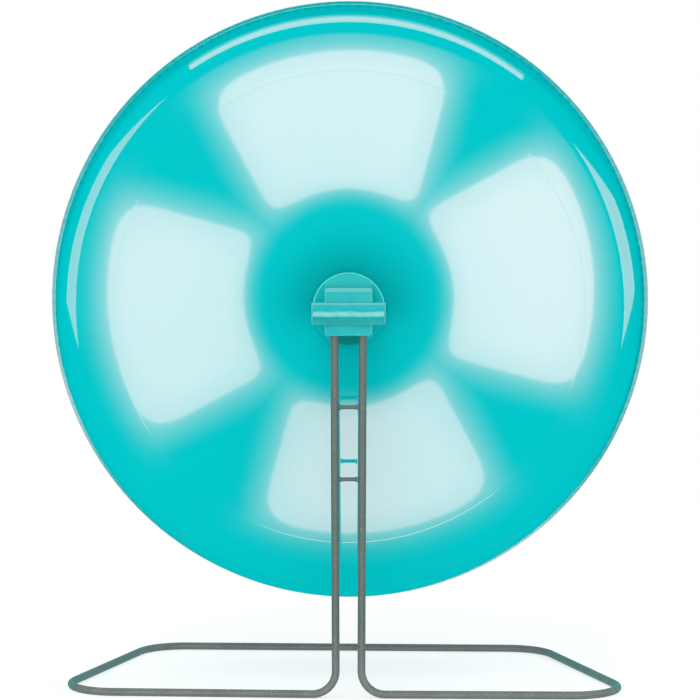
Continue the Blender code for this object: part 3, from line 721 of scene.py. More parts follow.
def carried(name: str, route: np.ndarray, radii: np.ndarray, sides: int) -> bpy.types.Object:
    """Carries a circle along a route.

    The circle's frame turns with the route and isn't twisted: at each station
    the last depth direction, less its part along the new tangent, is the new one.
    The mesh keeps a "run" attribute with the place round and along the wire.

    Args:
        name: The object's name.
        route: Stations, as rows of x, y and z.
        radii: Radius at each station; the last ones draw in to close the ends.
        sides: Points round.

    Returns:
        The new object.
    """
    tangent = unit(np.gradient(route, axis=0))
    depth = np.zeros_like(route)
    last = np.array([0.0, 1.0, 0.0])
    for index, direction in enumerate(tangent):
        last = unit(last - direction * (last @ direction))
        depth[index] = last
    side = np.cross(depth, tangent)
    across, deep = (wave(circle(sides)) for wave in (np.sin, np.cos))
    ring = across[None, :, None] * side[:, None] + deep[None, :, None] * depth[:, None]
    steps = np.linalg.norm(np.diff(route, axis=0), axis=1)
    length = np.concatenate([[0.0], np.cumsum(steps)])
    run = spread(radii[:, None] * across, radii[:, None] * deep, length[:, None])
    return grid(name, route[:, None] + ring * radii[:, None, None], run=run)


def merged(piece: bpy.types.Object, others: list[bpy.types.Object], operation: str,
           ) -> bpy.types.Object:
    """Joins or cuts a piece with other shapes, which are used up.

    Args:
        piece: The piece that is kept.
        others: The shapes to join with it or to cut from it.
        operation: "UNION" or "DIFFERENCE".

    Returns:
        The piece, with its new mesh and no modifiers.
    """
    for other in others:
        boolean = piece.modifiers.new(other.name, "BOOLEAN")
        boolean.object = other
        boolean.operation = operation
        boolean.solver = "EXACT"
    view = bpy.context.evaluated_depsgraph_get()
    mesh = bpy.data.meshes.new_from_object(piece.evaluated_get(view))
    piece.modifiers.clear()
    piece.data = mesh
    mesh.name = piece.name
    for other in others:
        bpy.data.objects.remove(other)
    mesh.set_sharp_from_angle(angle=FLAT_ANGLE)
    return piece


def rides(piece: bpy.types.Object, body: Body, finish: Finish, node: str) -> None:
    """Dresses a piece and puts it on its body, in place of a CAD node.

    Args:
        piece: The finished piece.
        body: The body that it rides on.
        finish: Its finish.
        node: The CAD node that it stands for.
    """
    finish.paint(piece)
    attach(piece, body.value)
    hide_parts(node)
    LOG.info("%s: %d faces on %s", piece.name, len(piece.data.polygons), body.value)


# ---- The wheel

@dataclass
class Wheel:
    """The moulded dish with its hub boss, and the cap over the axle bolt."""

    lip_radius: float = 0.1650
    lip_step: float = 0.0020
    lip_thickness: float = 0.0030
    lip_bend: float = 0.0003            # round of the lip's front edges
    lip_guard: float = 0.00004          # flat strip beside each round, which keeps its shading off
    lip_rear: float = 0.1334
    lip_rear_bend: float = 0.0012
    mouth_bend: float = 0.0008
    mouth_land: float = 0.0040          # plain strip between the mouth and the ribs
    wall: float = 0.0025
    dome_radius: float = 0.6000
    crease_step: float = 0.000010
    crease_turn: float = 0.0006         # the step's spread, as a turn about the ball's centre
    crease_clear: float = 0.0020        # no other row this near to the crease or the shoulder
    bend: float = 0.0140
    rib_height: float = 0.0008
    rib_fade: float = 0.0050
    hub_front: float = 0.0144
    hub_face: float = 0.0200
    eye_radius: float = 0.0080
    seat_front: float = 0.0159
    seat_radius: float = 0.0113
    boss_radius: float = 0.0143
    boss_rear: float = 0.0247
    boss_foot: float = 0.0012           # round between the boss and the disc
    boss_edge: float = 0.0005
    cap_wall: float = 0.0018
    cap_round: float = 0.0040
    cap_top: float = 0.0329
    cap_front: float = 0.0178
    cap_edge: float = 0.0004
    cap_dimple: float = 0.0006
    dimple_radii: Pair = (0.0030, 0.0045)       # of its floor and its rim
    dimple_bend: float = 0.0010
    columns: int = 720

    def skin(self, inset: float, dome_steps: int, bend_steps: int) -> np.ndarray:
        """Skin of the dish from the hub's face to the drum's rear end.

        The disc is an arc about the ball's centre, the drum is a straight line,
        and the shoulder is an arc that touches both: its centre lies one bend
        inside the drum's line and one bend inside the ball.

        Args:
            inset: How far the skin lies inside the outer one.
            dome_steps: Steps over the disc.
            bend_steps: Steps round the shoulder.

        Returns:
            Points of radius and place along the axle.
        """
        sine, cosine = math.sin(DRAFT), math.cos(DRAFT)
        ball = self.hub_front + self.dome_radius
        end = (self.lip_radius - self.lip_step, self.lip_rear - self.lip_thickness)
        seek = np.array([end[0] - self.bend * cosine, end[1] + self.bend * sine - ball])
        ahead = seek @ (sine, cosine)
        reach = ahead + math.sqrt(ahead ** 2 - seek @ seek + (self.dome_radius - self.bend) ** 2)
        centre = seek - reach * np.array([sine, cosine])
        hub = self.hub_face if inset else self.eye_radius
        first = math.asin(hub / (self.dome_radius - inset))
        touch = math.atan2(centre[0], -centre[1])
        turn = np.linspace(first, touch, dome_steps, endpoint=False)
        step = 0.0 if inset else self.crease_step
        if not inset:
            mark = math.asin(CREASE_RADIUS / self.dome_radius)
            near = mark + self.crease_turn * np.array([-1.0, -0.5, 0.0, 0.5, 1.0])
            turn = turn[np.abs(turn - mark) > self.crease_clear]
            turn = np.sort(np.concatenate([turn, near, [touch - self.crease_clear]]))
            rise = step * np.clip((turn - mark) / self.crease_turn + 0.5, 0, 1)
        else:
            rise = -inset
        radii = self.dome_radius + rise
        dome = np.stack([radii * np.sin(turn), ball - radii * np.cos(turn)], axis=1)
        bow = np.linspace(touch, math.pi / 2 - DRAFT, bend_steps + 1)
        bend = self.bend - inset + step * np.linspace(1, 0, bend_steps + 1)
        ring = bend[:, None] * np.stack([np.sin(bow), -np.cos(bow)], axis=1)
        shoulder = ring + centre + np.array([0.0, ball])
        rear = np.array([end[0] - inset / cosine, end[1]])
        # Closer rows at both ends of the drum keep its shading even.
        share = np.array([0.01, 0.1, 0.25, 0.5, 0.75, 0.9, 0.985, 1.0])[:, None]
        return np.vstack([dome, shoulder, shoulder[-1] * (1 - share) + rear * share])

    def dish(self) -> bpy.types.Object:
        """The dish: outer skin, rounded lip, ribbed running surface, inner skin and hub boss.

        The profile is turned round the axle. On the running surface the radius
        is less by half the rib height times 1 + cos(rib count * turn), fading
        in and out at both ends.

        Returns:
            The new object.
        """
        outer = self.skin(0.0, 22, 26)
        inner = self.skin(self.wall, 8, 8)
        slope = math.tan(DRAFT)
        drum_end = inner[-1]
        edge, rear, front = self.lip_radius, self.lip_rear, self.lip_rear - self.lip_thickness
        inside = drum_end[0] + (rear - drum_end[1]) * slope
        bend, guard, land = self.lip_bend, self.lip_bend + self.lip_guard, self.mouth_land
        lip = rounded(
            [tuple(outer[-2]), (outer[-1][0], front), (outer[-1][0] + guard, front),
             (edge - guard, front), (edge, front), (edge, front + guard),
             (edge, rear - self.lip_rear_bend - self.lip_guard), (edge, rear), (inside, rear),
             (inside - land * slope, rear - land)],
            [0, bend, 0, 0, bend, 0, 0, self.lip_rear_bend, self.mouth_bend, 0],
            [1, 3, 1, 1, 4, 1, 1, 5, 4, 1])[1:]
        drum_start = inner[-9]
        running = np.linspace(rear - land, drum_start[1] + 0.001, 14)
        drum = np.stack([drum_end[0] + (running - drum_end[1]) * slope, running], axis=1)
        boss = rounded(
            [tuple(inner[1]), (self.boss_radius, inner[0][1] + 0.0001),
             (self.boss_radius, self.boss_rear), (self.seat_radius, self.boss_rear),
             (self.seat_radius, self.seat_front)],
            [0, self.boss_foot, self.boss_edge, self.boss_edge, 0], 4)[1:]
        before = np.vstack([[(self.eye_radius, self.seat_front)], outer[:-1], lip[:-1]])
        profile = np.vstack([before, drum, inner[-9:1:-1], boss])
        fade = np.zeros((len(profile), 1))
        ends = np.minimum(rear - land - running, running - running[-1])
        fade[len(before):len(before) + len(drum), 0] = np.clip(ends / self.rib_fade, 0, 1)
        ripple = self.rib_height * fade * (0.5 + 0.5 * np.cos(RIB_COUNT * circle(self.columns)))
        return revolved("wheel_shell", profile, self.columns, ripple)

    def cap(self) -> bpy.types.Object:
        """The cap: a turned cup with rounded corners and a small dimple in its top.

        Returns:
            The new object.
        """
        inside = self.boss_radius + TOUCH_GAP
        outside = inside + self.cap_wall
        top, under = self.cap_top, self.cap_top - self.cap_wall
        low = top - self.cap_dimple
        floor, rim = self.dimple_radii
        outer = rounded([(0, low), (floor, low), (rim, top), (outside, top),
                         (outside, self.cap_front), (inside, self.cap_front)],
                        [0, self.dimple_bend, self.dimple_bend, self.cap_round, self.cap_edge, 0],
                        [1, 4, 4, 10, 3, 1])
        inner = rounded([(inside, self.cap_front), (inside, under), (0, under)],
                        [0, self.cap_round - self.cap_wall, 0], 8)[1:]
        return revolved("hub_cover", np.vstack([outer, inner]), 96)

    def build(self) -> None:
        """Makes and dresses the dish and its cap."""
        rides(self.dish(), Body.WHEEL, TURQUOISE, "wheel_dish")
        rides(self.cap(), Body.WHEEL, TURQUOISE, "hub_cap")


# ---- The stand

@dataclass
class Stand:
    """The bent wire with its base loop, and the two welded crossbars."""

    wire: float = 0.0020
    wire_edge: float = 0.0004           # round of the cut ends
    grip_spacing: float = 0.0143
    foot_spacing: float = 0.0129
    foot_bend: float = 0.0120
    corner_bend: float = 0.0250
    front_right: Pair = (0.1468, -0.0028)   # the loop's corners, a little out of true;
    rear_right: Pair = (0.1060, 0.1345)     # depths count from the uprights' plane
    rear_left: Pair = (-0.1108, 0.1425)
    front_left: Pair = (-0.1518, 0.0078)
    grip_drop: float = 0.0029
    grip_bend: float = 0.0060
    grip_reach: float = 0.0174
    crossbar: float = 0.0010
    weld: float = 0.0017
    weld_reach: float = 0.0006
    crossbar_drops: dict[str, float] = field(
        default_factory=lambda: {"upper": 0.0490, "lower": 0.0854})

    def route(self) -> np.ndarray:
        """The wire's centre line, tip to tip, with an arc of 15 points at each bend.

        Returns:
            Its points, as rows of x, y and z.
        """
        grip = AXLE_HEIGHT - self.grip_drop
        half = [(self.grip_reach, 0, grip), (self.grip_spacing / 2, 0, grip),
                (self.foot_spacing / 2, 0, self.wire)]
        loop = [(*corner, self.wire) for corner in (
            self.front_right, self.rear_right, self.rear_left, self.front_left)]
        corners = np.array(half + loop + [(-x, y, z) for x, y, z in half[::-1]])
        corners = corners + (0, UPRIGHT_PLANE, 0)
        bends = [self.grip_bend, self.foot_bend, self.corner_bend, self.corner_bend]
        arcs = [arc(before, corner, after, bend, 14) for before, corner, after, bend
                in zip(corners, corners[1:], corners[2:], bends + bends[::-1])]
        return np.vstack([corners[0], *arcs, corners[-1]])

    def frame_wire(self) -> bpy.types.Object:
        """The wire, carried along its route, with a small round at both cut ends.

        The first and last stations close the ends, a hair outside the cut.

        Returns:
            The new object.
        """
        route = self.route()
        angle = np.linspace(math.pi / 2, 0, 5)
        first, last = (tip + unit(onward - tip) * (self.wire_edge * (1 - np.sin(angle)))[:, None]
                       for tip, onward in (route[:2], route[:-3:-1]))
        tips = [end[0] + (end[0] - end[2]) * 1e-3 for end in (first, last)]
        stations = np.vstack([tips[0], first, route[1:-1], last[::-1], tips[1]])
        drawn = np.append(0.0, self.wire - self.wire_edge * (1 - np.cos(angle)))
        radii = np.concatenate([drawn, np.full(len(route) - 2, self.wire), drawn[::-1]])
        return carried("frame_wire", stations, radii, 28)

    def upright_offset(self, height: float) -> float:
        """Distance from the middle to an upright's centre, at a height above the floor."""
        share = (height - self.wire) / (AXLE_HEIGHT - self.grip_drop - self.wire)
        return (self.foot_spacing + (self.grip_spacing - self.foot_spacing) * share) / 2

    def rod(self, name: str, drop: float) -> bpy.types.Object:
        """A crossbar between the uprights.

        At its welds its radius flares as r + rise * exp(-(distance / reach) ** 2).

        Args:
            name: Which crossbar.
            drop: Its distance under the axle.

        Returns:
            The new object.
        """
        height = AXLE_HEIGHT - drop
        end = self.upright_offset(height) - self.wire - TOUCH_GAP
        away = np.append(np.linspace(0, 0.0016, 10), 0.0026)     # close where the rod flares
        rise = self.weld - self.crossbar
        flare = self.crossbar + rise * np.exp(-(away / self.weld_reach) ** 2)
        across = np.concatenate([[-end], -end + away, (end - away)[::-1], [end]])[:, None]
        radii = np.concatenate([[0.0], flare, flare[::-1], [0.0]])[:, None]
        deep, up = (radii * wave(circle(24)) for wave in (np.cos, np.sin))
        return grid(f"cross_rod_{name}", spread(across, UPRIGHT_PLANE + deep, height + up),
                    run=spread(deep, up, across))

    def build(self) -> None:
        """Makes and dresses the wire and the crossbars."""
        rides(self.frame_wire(), Body.STAND, WIRE, "stand_wire")
        for name, drop in self.crossbar_drops.items():
            rides(self.rod(name, drop), Body.STAND, WIRE, f"crossbar_{name}")


# ---- The bracket

@dataclass
class Bracket:
    """The two halves that grip the wire ends and hold the axle."""

    stand: Stand
    block_width: float = 0.0240
    block_rise: float = 0.0110
    block_drop: float = 0.0131
    block_front: float = -0.0034
    block_corner: float = 0.0016
    block_edge: float = 0.0006
    block_slope: float = 0.0019         # the slanted upper edge of the block
    clamp_rear: float = 0.0020
    bar_width: float = 0.0374
    bar_rise: float = 0.0036
    bar_drop: float = 0.0075
    bar_front: float = -0.0050
    bar_corner: float = 0.0007
    bar_edge: float = 0.0006
    bar_slope: float = 0.0010
    bead_radius: float = 0.0023
    bead_drop: float = 0.0024
    bead_front: float = -0.0062
    bead_round: float = 0.0007          # of its ends
    bead_end: float = 0.55              # share of its radius that is left there
    bead_inset: float = 0.0002          # from the bar's ends
    bead_swell: tuple[Wave, ...] = ((0.00010, 420.0, 1.0), (0.00007, 910.0, 0.4))
    bead_rise: tuple[Wave, ...] = ((0.00012, 300.0, 2.0), (0.00006, 760.0, 0.0))
    bead_slack: float = 0.00012         # taken off its radius, so that the swell stays in line
    recess_width: float = 0.0218
    recess_height: float = 0.0020
    recess_depth: float = 0.0004
    recess_corner: float = 0.0004
    recess_edge: float = 0.0002
    notch_radius: float = 0.0009
    flange_radius: float = 0.0184
    flange_front: float = 0.0098
    flange_edges: Pair = (0.0006, 0.0003)       # front and rear
    rear: float = 0.0128
    column_front: float = 0.0023
    column_radius: float = 0.0176
    column_edge: float = 0.0004
    column_overlap: float = 0.0015      # how far the column reaches into the flange
    pocket_rear: float = 0.0094
    nut_corner: float = 0.0065 / math.cos(math.pi / 6)
    axle_hole: float = 0.0040
    screw_inset: float = 0.0034
    screw_foot: float = 0.0026          # height of the third screw above the block's lower edge
    screw_radius: float = 0.00145
    screw_head: float = 0.0026
    screw_seat: float = 0.0105
    screw_end: float = -0.0024

    def screws(self) -> list[Pair]:
        """Places of the three screws, across the axle and above it."""
        across, upper = self.block_width / 2 - self.screw_inset, self.block_rise - self.screw_inset
        return [(-across, upper), (across, upper), (0.0, self.screw_foot - self.block_drop)]

    def bead(self) -> bpy.types.Object:
        """The half-round bead over the wire ends.

        A circle is carried across the bar. Its radius and height waver by a
        tenth of a millimetre or so, as sums of sines of the place across, and
        its ends are rounded.

        Returns:
            The new object.
        """
        half = self.bar_width / 2 - self.bead_inset
        across = np.linspace(-half, half, 61)
        swell, rise = (sum(height * np.sin(across * turn + start) for height, turn, start in waves)
                       for waves in (self.bead_swell, self.bead_rise))
        near_end = np.clip((np.abs(across) - half + self.bead_round) / self.bead_round, 0, 1)
        close = np.sqrt(1 - near_end ** 2)
        share = self.bead_end + (1 - self.bead_end) * close
        radii = (self.bead_radius - self.bead_slack + swell) * share
        radii[[0, -1]] = 0.0
        across[[0, -1]] = across[[1, -2]]
        turn, radii = circle(96), radii[:, None]
        middle = UPRIGHT_PLANE + self.bead_front + self.bead_radius
        height = AXLE_HEIGHT - self.bead_drop + rise[:, None]
        return grid("bead", spread(across[:, None], middle + radii * np.cos(turn),
                                   height + radii * np.sin(turn)))

    def grip(self, side: int) -> bpy.types.Object:
        """Slot for one bent-out wire end, open to the rear: its route with a little room.

        Args:
            side: 1 for the right end, -1 for the left one.

        Returns:
            The cutting shape.
        """
        room, deepest = self.stand.wire + TOUCH_GAP, self.clamp_rear + OVERCUT
        low = -self.block_drop - OVERCUT
        route = self.stand.route()[::side][:16] - (0, UPRIGHT_PLANE, AXLE_HEIGHT)
        foot = (side * self.stand.upright_offset(AXLE_HEIGHT + low), 0, low)
        line = np.vstack([route[0] + (side * TOUCH_GAP, 0, 0), route[1:], foot])
        angle = np.linspace(0, math.pi, 13)
        across = np.concatenate([[room], room * np.cos(angle), [-room]])
        deep = np.concatenate([[deepest], -room * np.sin(angle), [deepest]])
        normal = np.cross(unit(np.gradient(line, axis=0)), (0, 1, 0))
        points = line[:, None] + normal[:, None] * across[None, :, None]
        points[..., 1] += deep
        return grid(f"grip_{side}", points + (0, UPRIGHT_PLANE, AXLE_HEIGHT), caps=True)

    def drill(self, name: str, steps: list[Pair], place: Pair = (0.0, 0.0), columns: int = 32,
              ) -> bpy.types.Object:
        """A stepped drill along the axle, for a cut; steps are points of radius and place."""
        profile = np.array([(0.0, steps[0][1]), *steps, (0.0, steps[-1][1])])
        return revolved(name, profile, columns, place=place)

    def slope(self, name: str, top: float, front: float, size: float) -> bpy.types.Object:
        """A prism that slants an upper front edge back by 45 degrees, for a cut.

        Args:
            name: The shape's name.
            top: Height of the edge above the axle.
            front: Its place along the axle.
            size: Height of the slant.

        Returns:
            The cutting shape.
        """
        spare = 2 * OVERCUT
        section = np.array([(front - spare, top - size - spare), (front - spare, top + spare),
                            (front + size + spare, top + spare)])
        section = section + (UPRIGHT_PLANE, AXLE_HEIGHT)
        across = np.array([[-self.bar_width], [self.bar_width]])
        return grid(name, spread(across, section[:, 0], section[:, 1]), caps=True)

    def clamp(self) -> bpy.types.Object:
        """Front half: rounded block, bar, wavy bead, recess, notch, wire slots and screw holes.

        Returns:
            The finished piece.
        """
        block = slab("clamp_front", rounded_box(
            self.block_width, -self.block_drop, self.block_rise, self.block_corner),
            self.block_front, self.clamp_rear, self.block_edge)
        bar = slab("bar", rounded_box(
            self.bar_width, -self.bar_drop, self.bar_rise, self.bar_corner),
            self.bar_front, self.clamp_rear - TOUCH_GAP, self.bar_edge)
        floor, low = self.bar_front + self.recess_depth, -self.bar_drop
        recess = slab("recess", rounded_box(
            self.recess_width, low - OVERCUT, low + self.recess_height, self.recess_corner),
            floor - 3 * OVERCUT, floor, self.recess_edge)
        notch = self.drill("notch", [
            (self.notch_radius, self.bead_front - OVERCUT),
            (self.notch_radius, self.block_front - TOUCH_GAP)], (0.0, low))
        hole = self.screw_radius + TOUCH_GAP
        drills = [self.drill(f"drill_{index}", [
            (hole, self.screw_end), (hole, self.clamp_rear + OVERCUT)], place)
            for index, place in enumerate(self.screws())]
        slopes = [self.slope("block_slope", self.block_rise, self.block_front, self.block_slope),
                  self.slope("bar_slope", self.bar_rise, self.bar_front, self.bar_slope)]
        for part, cut in zip((block, bar), slopes):
            merged(part, [cut], "DIFFERENCE")
        merged(block, [bar], "UNION")
        merged(block, [recess], "DIFFERENCE")
        merged(block, [self.bead()], "UNION")
        return merged(block, [self.grip(1), self.grip(-1), notch, *drills], "DIFFERENCE")

    def holder(self) -> bpy.types.Object:
        """Rear half: round flange, column, nut pocket, axle hole and screw seats.

        Returns:
            The finished piece.
        """
        edge = rounded([(0, self.flange_front), (self.flange_radius, self.flange_front),
                        (self.flange_radius, self.rear), (0, self.rear)],
                       [0, *self.flange_edges, 0], [1, 6, 3, 1])
        piece = revolved("axle_holder", edge, 144)
        half = self.block_width / 2
        start = math.acos(half / self.column_radius)
        bow = np.linspace(start, math.pi - start, 33)
        top = self.column_radius * np.stack([np.cos(bow), np.sin(bow)], axis=1)
        outline = np.vstack([[(-half, -self.block_drop), (half, -self.block_drop)], top])
        column = slab("column", outline, self.column_front,
                      self.flange_front + self.column_overlap, self.column_edge)
        front, rear = self.column_front - OVERCUT, self.rear + OVERCUT
        corner = self.nut_corner + TOUCH_GAP
        pocket = self.drill("pocket", [(corner, front), (corner, self.pocket_rear)], columns=6)
        axle = self.drill("axle", [(self.axle_hole, front), (self.axle_hole, rear)], columns=48)
        shank, head = self.screw_radius + TOUCH_GAP, self.screw_head + TOUCH_GAP
        steps = [(shank, front), (shank, self.screw_seat), (head, self.screw_seat), (head, rear)]
        seats = [self.drill(f"seat_{index}", steps, place)
                 for index, place in enumerate(self.screws())]
        merged(piece, [column], "UNION")
        return merged(piece, [pocket, axle, *seats], "DIFFERENCE")

    def build(self) -> None:
        """Makes and dresses both halves."""
        rides(self.clamp(), Body.STAND, PALE, "wire_clamp")
        rides(self.holder(), Body.STAND, FLANGE, "axle_bracket")


# ---- The studio

@dataclass(frozen=True)
class Board:
    """A flat light beside the wheel, whose strength changes evenly along y."""

    name: str
    x: float
    outline: list[Pair]     # places of y and z
    strength: float         # at y = 0
    slope: float            # change in each metre along y


@dataclass
class Studio:
    """Camera, floor, pale background and soft lights."""

    camera_place: tuple[float, float, float] = (0.0069, -1.3158, 0.2439)
    pitch: float = math.radians(86.908)
    yaw: float = math.radians(0.2833)
    lens: float = 128.3
    level: float = 0.85                 # light from all round
    room: Colour = (0.0, 0.48, 0.50)    # what gloss shows beside the lights
    glow_tint: Colour = (1.0, 0.46, 0.455)
    ring_place: Pair = (0.0045, 0.195)  # centre of the ring of four fan-shaped lights
    ring_turn: float = math.radians(6.5)
    ring_board: float = 0.98
    fan_inner: float = 0.350
    fan_outer: float = 0.853
    fan_half_angle: float = math.radians(22.8)
    fan_tip: float = 0.220              # the fans' sides meet this far behind the ring's centre
    fan_rounding: float = 0.19
    fan_skirt: float = 0.115            # width of the faint light round each fan
    fan_side_shift: tuple[float, float, float] = (0.013, 0.008, 0.015)  # east, north, all round
    fan_inner_shift: tuple[float, float, float] = (0.013, 0.013, 0.011)     # width, east, north
    fan_outer_shift: tuple[float, float, float] = (0.014, 0.005, 0.007)     # height, north, east
    fan_edge: Pair = (0.002, -0.002)
    fan_depth: float = -0.11            # how far inside its edge a fan is at its brightest
    fan_levels: Pair = (0.43, 0.16)     # at the edge, and what is added inside
    skirt_level: float = 0.37
    halo_reach: float = 0.18
    halo_level: float = 0.04
    fan_strengths: Pair = (6.40, 5.90)  # across and upright
    fan_lean: Pair = (0.30, 0.45)       # what is added to the east and the north
    side_boards: tuple[Board, ...] = (
        Board("light_left", -1.35,
              [(-0.32, 0.18), (-1.80, -0.08), (-1.80, 1.65), (-0.32, 1.00)], 1.85, -0.35),
        Board("light_right", 1.35,
              [(0.10, 0.23), (-1.55, -0.08), (-1.55, 1.13), (0.10, 0.70)], 2.20, -0.30))
    ceiling_height: float = 1.70
    ceiling_across: Pair = (-1.05, 1.18)
    ceiling_along: Pair = (-0.27, 2.0)
    ceiling_strength: float = 2.7
    ceiling_reach: float = 0.62         # how far back its light has fallen to a half
    lamp_aim: float = 0.16              # height at which the lamps point
    floor_radius: float = 1.2
    floor_shade: float = 0.36
    floor_lift: float = 0.70
    floor_fade: Pair = (0.35, 0.90)

    def camera(self) -> None:
        """Makes the camera at the photograph's angle."""
        data = bpy.data.cameras.new("camera")
        data.lens = self.lens
        data.sensor_width = 36.0
        data.clip_start, data.clip_end = 0.05, 60.0
        camera = bpy.data.objects.new("camera", data)
        camera.location = self.camera_place
        camera.rotation_euler = (self.pitch, 0.0, self.yaw)
        bpy.context.scene.collection.objects.link(camera)
        bpy.context.scene.camera = camera

    def flat(self, name: str, corners: np.ndarray) -> tuple[bpy.types.Object, Nodes]:
        """Makes a flat face with an empty material.

        Args:
            name: Its name.
            corners: Its outline, as rows of x, y and z.

        Returns:
            The new object and its material's nodes.
        """
        mesh = bpy.data.meshes.new(name)
        mesh.from_pydata(corners.tolist(), [], [list(range(len(corners)))])
        shape = bpy.data.objects.new(name, mesh)
        bpy.context.scene.collection.objects.link(shape)
        material = bpy.data.materials.new(name)
        material.use_nodes = True
        material.node_tree.nodes.clear()
        mesh.materials.append(material)
        return shape, Nodes(material.node_tree)

    def glow(self, name: str, corners: np.ndarray,
             light: Callable[[Nodes], bpy.types.NodeSocket]) -> None:
        """A light that only gloss shows: a flat shape that glows and lights nothing else.

        Where gloss mirrors gloss, the room takes the light's place.

        Args:
            name: Its name.
            corners: Its outline, as rows of x, y and z.
            light: Gives the colour of its light, from the material's nodes.
        """
        shape, nodes = self.flat(name, corners)
        bounce = Term(nodes, nodes.add("ShaderNodeLightPath").outputs["Ray Depth"])
        colour = nodes.mix(bounce.math("GREATER_THAN", 1.5), light(nodes), self.room)
        emission = nodes.add("ShaderNodeEmission", None, {"Color": colour, "Strength": 1.0})
        nodes.add("ShaderNodeOutputMaterial", None, {"Surface": emission.outputs[0]})
        shape.visible_camera = shape.visible_diffuse = shape.visible_shadow = False
        shape.visible_transmission = shape.visible_volume_scatter = False

    def tinted(self, nodes: Nodes, strength: Term | float) -> bpy.types.NodeSocket:
        """Light of the lamps' tint at a strength, over the colour of the room."""
        return nodes.vector(*(strength * tint + dark
                              for tint, dark in zip(self.glow_tint, self.room)))

    def fans(self, nodes: Nodes) -> bpy.types.NodeSocket:
        """Light of the ring's board: four equal fans, a quarter turn apart.

        The board's quarters are folded onto one another: ahead is the larger
        and aside the smaller of the two distances from the ring's cross of
        axes. A fan is the wedge aside * cos h < (ahead + tip) * sin h between
        two circles. The smooth maximum of the three distances to those edges
        rounds its corners, and the light fades over a skirt outside them. The
        edges move a little with the turn, as the photograph shows them.

        Args:
            nodes: The board's nodes.

        Returns:
            The colour of its light.
        """
        x, _, z = nodes.parts(nodes.place())
        x, z = x - self.ring_place[0], z - self.ring_place[1]
        sine, cosine = math.sin(self.ring_turn), math.cos(self.ring_turn)
        right, up = x * cosine + z * sine, z * cosine - x * sine
        radius = (x * x + z * z).math("SQRT").math("MAXIMUM", 0.01)
        ahead, aside = abs(right).math("MAXIMUM", abs(up)), abs(right).math("MINIMUM", abs(up))
        east, north = right / radius, up / radius
        width, height = east * east, north * north
        side = aside * math.cos(self.fan_half_angle)
        side = side - (ahead + self.fan_tip) * math.sin(self.fan_half_angle)
        by_east, by_north, even = self.fan_side_shift
        side = side - (east * by_east + north * by_north + even)
        by_width, by_east, by_north = self.fan_inner_shift
        inner = self.fan_inner - width * by_width - east * by_east - north * by_north
        by_height, by_north, by_east = self.fan_outer_shift
        outer = self.fan_outer - height * by_height + north * by_north - east * by_east
        rim = (radius - outer).math("MAXIMUM", (inner - radius) * 1.8)
        edge = rim.math("SMOOTH_MAX", side, self.fan_rounding)
        depth = edge.ramp(0.0, self.fan_depth)
        skirt = (1 - edge / self.fan_skirt).math("MAXIMUM", 0.0).math("MINIMUM", 1.0) ** 2.0
        halo = edge.ramp(self.halo_reach, 0.0) * radius.ramp(0.80, 0.92) * self.halo_level
        level = edge.ramp(*self.fan_edge) * (depth * self.fan_levels[1] + self.fan_levels[0])
        level = level + skirt * self.skirt_level + halo
        level = level * (radius.ramp(0.30, 0.62) * 0.07 + 0.93)
        strength = height * self.fan_strengths[1] + width * self.fan_strengths[0]
        strength = strength + north * self.fan_lean[1] + east * self.fan_lean[0]
        return self.tinted(nodes, level * strength)

    def side(self, nodes: Nodes, board: Board) -> bpy.types.NodeSocket:
        """Light of a side board."""
        _, y, _ = nodes.parts(nodes.place())
        return self.tinted(nodes, y * board.slope + board.strength)

    def ceiling(self, nodes: Nodes) -> bpy.types.NodeSocket:
        """Light of the ceiling, which falls off as 1 / (1 + (distance back / reach) ** 4).

        Args:
            nodes: The ceiling's nodes.

        Returns:
            The colour of its light.
        """
        _, y, _ = nodes.parts(nodes.place())
        back = y.math("MAXIMUM", 0.0) / self.ceiling_reach
        return self.tinted(nodes, self.ceiling_strength / (back ** 4.0 + 1))

    def glows(self) -> None:
        """Makes the ring's board, the side lights and the ceiling."""
        ring = [centre + self.ring_board * wave(circle(64))
                for centre, wave in zip(self.ring_place, (np.cos, np.sin))]
        self.glow("light_ring", spread(ring[0], self.camera_place[1], ring[1]), self.fans)
        for board in self.side_boards:
            y, z = np.array(board.outline).T
            self.glow(board.name, spread(board.x, y, z), partial(self.side, board=board))
        (left, right), (near, far) = self.ceiling_across, self.ceiling_along
        x, y = np.array([(left, near), (right, near), (right, far), (left, far)]).T
        self.glow("light_ceiling", spread(x, y, self.ceiling_height), self.ceiling)

    def lamp(self, name: str, place: tuple[float, float, float], size: float, energy: float,
             ) -> None:
        """A soft square lamp that faces the wheel and stays out of the gloss.

        Args:
            name: Its name.
            place: Where it stands.
            size: Its width.
            energy: Its power in watts.
        """
        data = bpy.data.lights.new(name, "AREA")
        data.shape = "SQUARE"
        data.size = size
        data.energy = energy
        lamp = bpy.data.objects.new(name, data)
        lamp.location = place
        aim = np.array([0.0, 0.0, self.lamp_aim]) - np.array(place)
        lamp.rotation_euler = (math.atan2(math.hypot(aim[0], aim[1]), -aim[2]), 0.0,
                               math.atan2(aim[0], -aim[1]) + math.pi)
        lamp.visible_camera = lamp.visible_glossy = False
        bpy.context.scene.collection.objects.link(lamp)

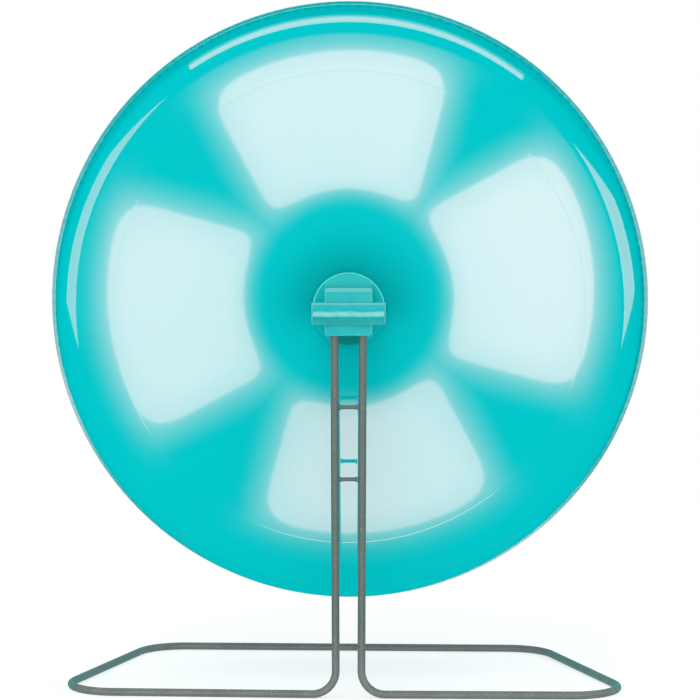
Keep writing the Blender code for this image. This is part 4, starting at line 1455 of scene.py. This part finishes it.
    def world(self) -> None:
        """White for the camera, plain light from all round, and a dark room in the gloss."""
        world = bpy.data.worlds.new("studio")
        world.use_nodes = True
        world.cycles.sampling_method = "NONE"
        bpy.context.scene.world = world
        nodes = Nodes(world.node_tree)
        path = nodes.add("ShaderNodeLightPath").outputs
        seen = nodes.math("MAXIMUM", *(Term(nodes, path[name])
                                       for name in ("Is Camera Ray", "Is Transmission Ray")))
        colour = nodes.mix(path["Is Glossy Ray"], (self.level,) * 3, self.room)
        nodes.feed(world.node_tree.nodes["Background"], {
            "Color": nodes.mix(seen, colour, (1.0, 1.0, 1.0)), "Strength": 1.0})

    def floor(self) -> None:
        """A pale round floor: it keeps the object's shadow and fades into the white background."""
        x, y = (self.floor_radius * wave(circle(96)) for wave in (np.cos, np.sin))
        floor, nodes = self.flat("floor", spread(x, y, 0.0))
        x, y, _ = nodes.parts(nodes.place())
        faded = (x * x + y * y).math("SQRT").ramp(*self.floor_fade)
        pale = nodes.add("ShaderNodeBsdfDiffuse", None, {"Color": (self.floor_shade,) * 3})
        lift = nodes.add("ShaderNodeEmission", None, {"Strength": self.floor_lift})
        plain = nodes.add("ShaderNodeAddShader", None, {0: pale.outputs[0], 1: lift.outputs[0]})
        white = nodes.add("ShaderNodeEmission", None, {"Strength": 1.0})
        both = nodes.add("ShaderNodeMixShader", None, {
            0: faded, 1: plain.outputs[0], 2: white.outputs[0]})
        nodes.add("ShaderNodeOutputMaterial", None, {"Surface": both.outputs[0]})
        floor.visible_glossy = False

    def build(self) -> None:
        """Sets up the whole studio."""
        bpy.context.scene.view_settings.view_transform = "Standard"
        self.camera()
        self.world()
        self.floor()
        self.glows()
        self.lamp("key_lamp", (-0.6, -1.6, 2.2), size=1.6, energy=14.0)
        self.lamp("back_lamp", (1.1, 1.5, 1.5), size=1.2, energy=7.0)


def main() -> None:
    """Builds the object's pieces in order, then the studio."""
    logging.basicConfig(level=logging.INFO, format="%(name)s %(message)s")
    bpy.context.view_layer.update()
    stand = Stand()
    for part in (stand, Bracket(stand), Wheel()):
        part.build()
    for finish, names in CARRIED.items():
        for name in names:
            finish.paint(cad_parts[name])
            LOG.info("%s: carried over, new %s", name, finish.slot.value)
    Studio().build()


if __name__ == "__main__":
    main()
